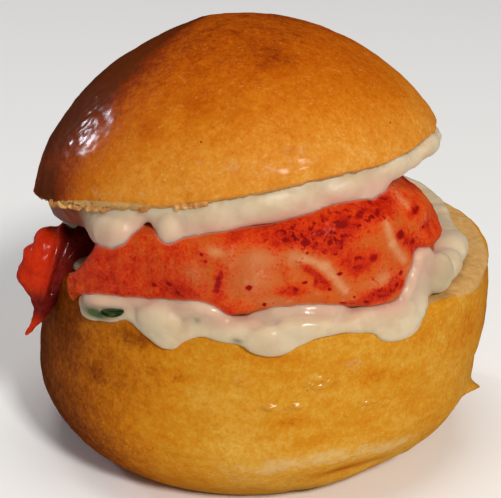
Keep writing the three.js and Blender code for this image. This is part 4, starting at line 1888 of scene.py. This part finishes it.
def add_lumps(obj: Object, points: Array, triangles: Array) -> None:
    """Adds loose lumps to an object's mesh.

    Args:
        obj: the object.
        points: the lumps' points, in millimetres.
        triangles: their triangles.
    """
    shape = bmesh.new()
    shape.from_mesh(obj.data)
    made = [shape.verts.new(p) for p in points * MM]
    for a, b, c in triangles:
        shape.faces.new((made[a], made[b], made[c]))
    shape.to_mesh(obj.data)
    shape.free()


def cut_clear(obj: Object, other: Object, gap: float = 0.005) -> None:
    """Cuts another piece out of an object, with a little air between the two.

    Args:
        obj: the piece that is cut.
        other: the piece that it lies against.
        gap: the air between them, in millimetres.
    """
    cutter = new_object("cutter", other.data.copy())
    move_points(cutter, points_of(cutter) + normals_of(cutter) * gap)
    cut = obj.modifiers.new("cut", "BOOLEAN")
    cut.operation = "DIFFERENCE"
    cut.solver = "MANIFOLD"
    cut.object = cutter
    baked(obj)
    mesh = cutter.data
    bpy.data.objects.remove(cutter)
    bpy.data.meshes.remove(mesh)


def lower_mayonnaise(heel: Heel) -> Mayonnaise:
    """The layer on the heel.

    Args:
        heel: the heel.

    Returns:
        The layer.
    """
    return Mayonnaise(
        name="mayonnaise_base",
        side=Side.HEEL,
        half_of_roll=heel,
        hems=rows_of(
            Hem,
            (207, 0.4, -1.6), (213, 0.8, -1.4), (215.5, 1.4, -0.2), (217.5, 3.5, 1), (221, 3.5, 1.2),
            (226, 2.7, 1.1), (229.5, 2.2, 0.9), (232.5, 1.3, 0.7), (235, 1.5, 0.7), (239, 2.5, 1.1),
            (245, 3.7, 1.5), (249, 2, 1.2), (253, 1, 1), (258, 0.9, 1), (262, 1.3, 1.2), (267, 2.6, 1.6),
            (270.5, 3.1, 1.8), (274, 2.1, 1.6), (279, 0.9, 1.2), (285, 0.6, 1), (291, 0.7, 1),
            (296, 1.9, 1.2), (301, 3.1, 1.4), (305, 2.9, 1.2), (309, 1.9, 0.6), (312, 1.1, -0.5),
            (314.5, 0.4, -1.8), (319, 0.2, -2.6), (328, 0.2, -4.6), (352, 0.2, -5.4), (6, 0.2, -4.8),
            (22, 0.2, -2.6), (38, 0.2, -0.8), (55, 0.6, 0.3), (90, 0.4, 0.2), (118, 2, 0.9),
            (140, 0.6, 0.3), (160, 1.7, 0.7), (185, 0.5, 0.2),
        ),
        laps=rows_of(
            Lap,
            (218.5, 1.2), (221, 1.7), (225, 2.3), (231, 2.8), (239, 3.4), (246, 3.9), (251, 4.8),
            (255, 4.3), (258, 3.3), (260.5, 2.7), (264, 3), (270, 4.1), (277, 4.4), (285, 3.8), (290, 2.5),
            (296, 2.6), (299, 2.4), (301.5, 2.5), (303.5, 3.3), (305.5, 5.4), (308, 8.6), (311, 8.8),
            (315, 7), (320, 5.4), (326, 4), (332, 3),
        ),
        dollops=rows_of(
            Dollop,
            (220.5, 0.1, -1.1, (2.6, 1.1, 1.7), 0.25), (242, 0.3, 0.4, (3.2, 1.3, 2.2)),
            (245.5, 0.3, -1.6, (1.7, 1.1, 1.9)), (269.5, 0.5, -0.7, (3.6, 1.3, 2.2)),
            (277, 0.3, 1, (4, 1.3, 1.6)), (302, 0.1, -1.4, (3.8, 1.2, 1.9)),
            (296, -1.1, 0.5, (6.4, 1.9, 1.9)), (260.5, -0.8, 0.1, (4.6, 1.8, 1.9)),
            (318.5, -2.6, 3.2, (2.6, 2.2, 3), 0.42), (328, -4.6, 1.8, (4.6, 2.6, 2.2)),
            (342, -6, 1.7, (5.4, 3, 2.2)), (356, -7.4, 1, (6, 3, 1.6)), (212.5, -2.4, 2.8, (1, 0.9, 1.7)),
        ),
        crest_round=1.5,
        hem_round=1.15,
        crest_up=0.5,
        crest_in=0.5,
        insets=((350, 24, 4.4), (20, 18, 1.8), (325, 12, 2.6), (209, 9, 3.6), (297, 9, 1.0)),
        dips=((261, 5.5, 0.7), (298, 9, 0.8), (214, 8, 0.8)),
        slab=2.0,
        stains=rows_of(
            Blotch,
            (224, -1.4, 2.2, 0.75, 1.2), (262, -0.6, 0.8, 0.4, 0.7), (252, 1.6, 0.5, 0.4, 0.5),
        ),
    )


def upper_mayonnaise(crown: Crown) -> Mayonnaise:
    """The layer under the crown.

    Args:
        crown: the crown.

    Returns:
        The layer.
    """
    return Mayonnaise(
        name="mayonnaise_top",
        side=Side.CROWN,
        half_of_roll=crown,
        hems=rows_of(
            Hem,
            (180, 3.8, -1.6), (199, 4.6, -1.9), (210, 4.6, -2.2), (217, 4.6, -2.4), (221, 5, -1.6),
            (225, 5.9, -0.5), (231, 6.5, 0.3), (236, 6.6, 0.5), (239.5, 6.4, 0.2), (242.5, 3.2, -1),
            (246, 2.8, -1.4), (248.5, 4.6, -0.6), (251.5, 7.2, 0.3), (255, 6, 0), (262, 5.3, -0.3),
            (272, 4.7, -0.3), (284, 5.1, -0.4), (296, 5.4, -0.2), (303, 5.7, 0.5), (308.5, 6.6, 0.8),
            (311.5, 4.6, 0.2), (316, 3.6, 0), (324, 3.3, 0.2), (332, 2.8, 0.5), (340, 2.4, 0.9),
            (350, 2.4, 0.8), (5, 2.3, 0.4), (30, 2.6, 0), (60, 3.4, 0.1), (95, 2.4, -0.3), (125, 3.5, 0),
            (150, 2.3, -0.6),
        ),
        laps=(),
        dollops=rows_of(
            Dollop,
            (232, -1.4, 3, (3.4, 1.5, 2.8)), (234.4, -0.4, 3.9, (3.2, 1.45, 2.5)),
            (252, -0.9, 4.3, (1.8, 1.4, 2.7)), (262, -1.5, 2.6, (3.6, 1.5, 2.4)),
            (279, -1.4, 2.4, (5, 1.5, 2.4)), (301, -1.3, 2.8, (4, 1.5, 2.4)),
            (318, -1.2, 1.8, (4, 1.5, 1.8)), (338, -0.6, 1.3, (4.4, 1.6, 1.5)),
        ),
        crest_round=1.3,
        hem_round=0.9,
        crest_up=0.7,
        crest_in=0.5,
        insets=((190, 24, 1.0),),
        dips=(),
        slab=2.4,
        # A brown painted shade on the left, where this layer lies in shadow under the crown.
        shaded_side=(196, 19, 6.0),
    )


# ---- Small things ----


@dataclass
class Crumbs:
    """Torn crumbs along the crown's cut edge, scattered by Geometry Nodes."""

    crown: Crown
    count: int = 640
    crumb: float = 0.36
    gap: float = 0.46  # they are left out where noise is under it
    clump: float = 4.0
    spread: float = 0.3
    jag: float = 1.6
    first: float = 208.0
    last: float = 263.0
    voxel: float = 0.13
    seed: int = 11
    grain: Grain = Grain(swell=(1.1, 0.1), fold=(0.5, 0.07))

    def _edge(self) -> Object:
        """The torn stretch of the crown's rim.

        Returns:
            A new object of a line of edges.
        """
        angles = np.linspace(self.first, self.last, 90)
        sags = bumped(self.crown.sags, angles)
        points = [self.crown.beside_rim(float(a), -0.55, 0.1 - float(sag)) for a, sag in zip(angles, sags)]
        mesh = bpy.data.meshes.new("torn_edge")
        mesh.from_pydata([tuple(p * MM) for p in points], [(i, i + 1) for i in range(len(points) - 1)], [])
        return new_object("roll_crumbs", mesh)

    def build(self, relief: Relief, finish: Material) -> Object:
        """Grows the crumbs and fuses them into clumps.

        Args:
            relief: the relief tree.
            finish: the crumbs' material.

        Returns:
            The new object.
        """
        growth = Growth("crumbs")
        count = growth.size("Count", self.count)
        size = growth.size("Crumb size", self.crumb)
        spread = growth.size("Spread", self.spread)
        seed = growth.size("Seed", self.seed)
        line = growth.node("GeometryNodeMeshToCurve", None, {"Mesh": growth.entry.outputs["Mesh"]})
        spots = growth.node("GeometryNodeCurveToPoints", {"mode": "COUNT"},
                            {"Curve": line.outputs[0], "Count": count})
        reach = growth.scaled((1.0, 1.0, 0.7), spread * MM)
        drift = growth.node("FunctionNodeRandomValue", {"data_type": "FLOAT_VECTOR"},
                            {"Min": growth.scaled(reach, -1.0), "Max": reach, "Seed": seed})
        gone = growth.node("FunctionNodeCompare", {"data_type": "FLOAT", "operation": "LESS_THAN"},
                           {"A": growth.noise(self.clump, 1.0), "B": growth.size("Gap", self.gap)})
        clumped = growth.node("GeometryNodeDeleteGeometry", None,
                              {"Geometry": spots.outputs["Points"], "Selection": gone.outputs["Result"]})
        strewn = growth.node("GeometryNodeSetPosition", None,
                             {"Geometry": clumped.outputs[0], "Offset": drift.outputs["Value"]})
        grain = growth.node("GeometryNodeMeshIcoSphere", None, {"Radius": size * MM, "Subdivisions": 2})
        turned = growth.node("FunctionNodeRandomValue", {"data_type": "FLOAT_VECTOR"},
                             {"Min": (0.0, 0.0, 0.0), "Max": (6.28, 6.28, 6.28), "Seed": seed + 1})
        scaled = growth.node("FunctionNodeRandomValue", {"data_type": "FLOAT_VECTOR"},
                             {"Min": (0.5, 0.5, 0.5), "Max": (1.9, 1.3, 1.2), "Seed": seed + 2})
        copies = growth.node("GeometryNodeInstanceOnPoints", None,
                             {"Points": strewn.outputs[0], "Instance": grain.outputs["Mesh"],
                              "Rotation": turned.outputs["Value"], "Scale": scaled.outputs["Value"]})
        real = growth.node("GeometryNodeRealizeInstances", None, {"Geometry": copies.outputs[0]})
        rough = growth.node("ShaderNodeTexNoise", None, {"Vector": growth.place, "Scale": 3.2, "Detail": 2.0})
        centred = growth.vector("SUBTRACT", {0: rough.outputs["Color"], 1: (0.5, 0.5, 0.5)})
        offset = growth.scaled(centred, size * (self.jag * MM))
        jagged = growth.node("GeometryNodeSetPosition", None, {"Geometry": real.outputs[0], "Offset": offset})
        growth.end(jagged.outputs[0])
        obj = growth.grow(self._edge(), finish, Count=self.count, Crumb_size=self.crumb, Spread=self.spread,
                          Seed=self.seed, Gap=self.gap)
        melt(obj, self.voxel, 1)
        paint_whole(obj, "crust", "loose")
        return relief.raise_on(obj, finish, self.grain)


@dataclass
class Herb:
    """A slice of green herb lying on the mayonnaise at the left."""

    heel: Heel
    at: float = 229.6
    out: float = 0.95
    up: float = -0.25
    half: Triple = (2.1, 0.5, 0.6)
    rise: float = 0.3
    rows: int = 48
    columns: int = 32

    def build(self, finish: Material) -> Object:
        """Makes the slice: a bent sliver with a groove along it.

        Args:
            finish: the herb's material.

        Returns:
            The new object.
        """
        slope = np.linspace(0, math.pi, self.rows)
        turn = np.radians(round_angles(self.columns))
        along = -np.cos(slope)[:, None] * np.ones(self.columns)
        closed = np.sin(slope)[:, None] ** 0.8
        groove = 1 - 0.35 * np.exp(-(((turn - math.pi / 2) / 0.35) ** 2))
        length, depth, height = self.half
        middle = self.heel.beside_rim(self.at, self.out, self.up)
        nearby = self.heel.beside_rim(self.at + 1, self.out, self.up)
        ahead = normalised(nearby - middle) + np.array([0.0, 0.0, self.rise])
        upwards = np.array([0.0, 0.0, 1.0])
        outwards = np.cross(ahead, upwards)
        rings = (middle + (along * length)[..., None] * ahead
                 + (closed * np.sin(turn) * groove * depth)[..., None] * outwards
                 + (closed * np.cos(turn) * height + 0.25 * along**2)[..., None] * upwards)
        obj = closed_skin("herb_slice", rings)
        obj.data.materials.append(finish)
        return obj


# ---- The studio ----


@dataclass(frozen=True)
class Lamp:
    """A soft lamp that looks at the sandwich.

    It has a place and a size in millimetres, a power, a colour, and whether it shows in reflections.
    """

    name: str
    place: Triple
    size: tuple[float, float]
    power: float
    colour: Colour
    mirrored: bool


@dataclass
class Studio:
    """The pale floor, the lamps and the camera."""

    target: Triple = (0.46, 0.0, 27.8)
    elevation: float = 21.0
    distance: float = 220.0
    lens: float = 106.5
    world: Colour = (1.0, 1.0, 1.0)
    world_power: float = 0.16
    floor_reach: float = 3000.0
    lamps: tuple[Lamp, ...] = (
        Lamp("key", (390.0, -900.0, 750.0), (190.0, 190.0), 10.2, (1.0, 0.97, 0.93), True),
        Lamp("window", (-990.0, 640.0, 480.0), (70.0, 170.0), 2.7, (0.84, 0.89, 1.0), True),
        Lamp("overhead", (0.0, 0.0, 1250.0), (700.0, 700.0), 5.4, (1.0, 0.98, 0.95), False),
    )

    def build(self, floor_finish: Material) -> None:
        """Sets up the floor, the light and the camera.

        Args:
            floor_finish: the floor's material.
        """
        self._floor(floor_finish)
        self._sky()
        for lamp in self.lamps:
            self._hang(lamp)
        self._camera()
        bpy.context.scene.view_settings.view_transform = "Standard"

    def _floor(self, finish: Material) -> None:
        """Lays the floor.

        Args:
            finish: its material.
        """
        reach = self.floor_reach * MM
        corners = [(-reach, -reach, 0), (reach, -reach, 0), (reach, reach, 0), (-reach, reach, 0)]
        mesh = bpy.data.meshes.new("floor")
        mesh.from_pydata(corners, [], [(0, 1, 2, 3)])
        floor = new_object("floor", mesh)
        floor.visible_glossy = False
        mesh.materials.append(finish)

    def _sky(self) -> None:
        """Lights the room evenly."""
        world = bpy.data.worlds.new("room")
        world.use_nodes = True
        world.node_tree.nodes.clear()
        graph = Graph(world.node_tree)
        back = graph.node("ShaderNodeBackground", None, {"Color": self.world, "Strength": self.world_power})
        output = graph.node("ShaderNodeOutputWorld")
        graph.tree.links.new(back.outputs[0], output.inputs["Surface"])
        world.cycles_visibility.glossy = False
        bpy.context.scene.world = world

    def _hang(self, lamp: Lamp) -> None:
        """Hangs a lamp and turns it to the sandwich.

        Args:
            lamp: the lamp.
        """
        light = bpy.data.lights.new(lamp.name, "AREA")
        light.shape = "RECTANGLE"
        light.size, light.size_y = lamp.size[0] * MM, lamp.size[1] * MM
        light.energy = lamp.power
        light.color = lamp.colour
        obj = bpy.data.objects.new(lamp.name, light)
        bpy.context.scene.collection.objects.link(obj)
        place = Vector(lamp.place) * MM
        obj.location = place
        obj.rotation_euler = (Vector(self.target) * MM - place).to_track_quat("-Z", "Y").to_euler()
        obj.visible_glossy = lamp.mirrored

    def _camera(self) -> None:
        """Sets up the camera."""
        camera = bpy.data.cameras.new("camera")
        camera.lens = self.lens
        camera.sensor_width = 36.0
        camera.clip_start = 10 * MM
        obj = bpy.data.objects.new("camera", camera)
        bpy.context.scene.collection.objects.link(obj)
        turn = math.radians(self.elevation)
        target = Vector(self.target) * MM
        obj.location = target + Vector((0, -math.cos(turn), math.sin(turn))) * self.distance * MM
        obj.rotation_euler = (target - obj.location).to_track_quat("-Z", "Y").to_euler()
        bpy.context.scene.camera = obj


# ---- The sandwich ----


@dataclass
class Slider:
    """The whole sandwich."""

    heel: Heel = field(default_factory=Heel)
    crown: Crown = field(default_factory=Crown)
    claw: Claw = field(default_factory=Claw)
    knuckle: Knuckle = field(default_factory=Knuckle)

    def build(self) -> None:
        """Builds every piece in order and joins it to the frame."""
        relief, sieve = Relief(), Sieve()
        heel_crust = CrustFinish("heel_crust", HEEL_BAKE_AND_SHADE, flatten=1.8).make()
        heel = self.heel.build(relief, heel_crust)
        self._join(heel, "heel", "heel_crust")
        crown = self.crown.build(relief, CrustFinish("crown_crust", CROWN_BAKE_AND_SHADE).make())
        self._join(crown, "crown", "crown_crust")
        claw = self.claw.build(relief, MeatFinish("claw_meat").make())
        self._join(claw, "lobster_claw", "claw_meat")
        knuckle = self.knuckle.build(relief, MeatFinish("knuckle_meat", mottle=0.4, depth=0.2).make())
        self._join(knuckle, "lobster_knuckle", "knuckle_meat")
        wet = CreamFinish("mayonnaise_wet").make()
        base = lower_mayonnaise(self.heel).build(relief, sieve, wet, claw, [knuckle, heel])
        self._join(base, "cream_base", "cream")
        dull = CreamFinish("mayonnaise_dull", roughness=0.42).make()
        top = upper_mayonnaise(self.crown).build(relief, sieve, dull, claw, [knuckle, crown])
        self._join(top, "cream_top", "cream")
        self._cling(claw, [base, top])
        self._join(Crumbs(self.crown).build(relief, CrumbFinish().make()), None, "crown_crust")
        self._join(Herb(self.heel).build(HerbFinish().make()), None, "cream")

    @staticmethod
    def _cling(meat: Object, creams: Sequence[Object], reach: float = 0.22) -> None:
        """Paints "smear" on a piece of meat where mayonnaise touches it.

        Args:
            meat: the meat.
            creams: the layers of mayonnaise.
            reach: how far from them it fades, in millimetres.
        """
        layers = [tree_of(cream) for cream in creams]
        points = points_of(meat)
        gaps = np.array([min(layer.find_nearest(Vector(p * MM))[3] for layer in layers) for p in points]) / MM
        paint(meat, "smear", np.exp(-((gaps / reach) ** 2)))

    @staticmethod
    def _join(piece: Object, node: str | None, slot: str) -> None:
        """Rides a piece on the sandwich, in place of its node in the frame, and reports it.

        Args:
            piece: the finished piece.
            node: the node of the frame that it stands for, if any.
            slot: a material slot's name; not used.
        """
        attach(piece, BODY)
        points = points_of(piece)
        low, high = points.min(axis=0), points.max(axis=0)
        faces = len(piece.data.polygons)
        LOG.info("%s: %d faces, %s to %s mm", piece.name, faces, low.round(1), high.round(1))
        if node is None:
            return
        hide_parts(node)
        node_low, node_high = (np.array(corner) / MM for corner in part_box(node))
        LOG.info("  beside %s by %s and %s mm", node, (low - node_low).round(1), (high - node_high).round(1))


def main() -> None:
    """Builds the sandwich in its studio."""
    logging.basicConfig(level=logging.INFO, format="%(message)s")
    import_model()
    Slider().build()
    Studio().build(FloorFinish().make())


if __name__ == "__main__":
    main()
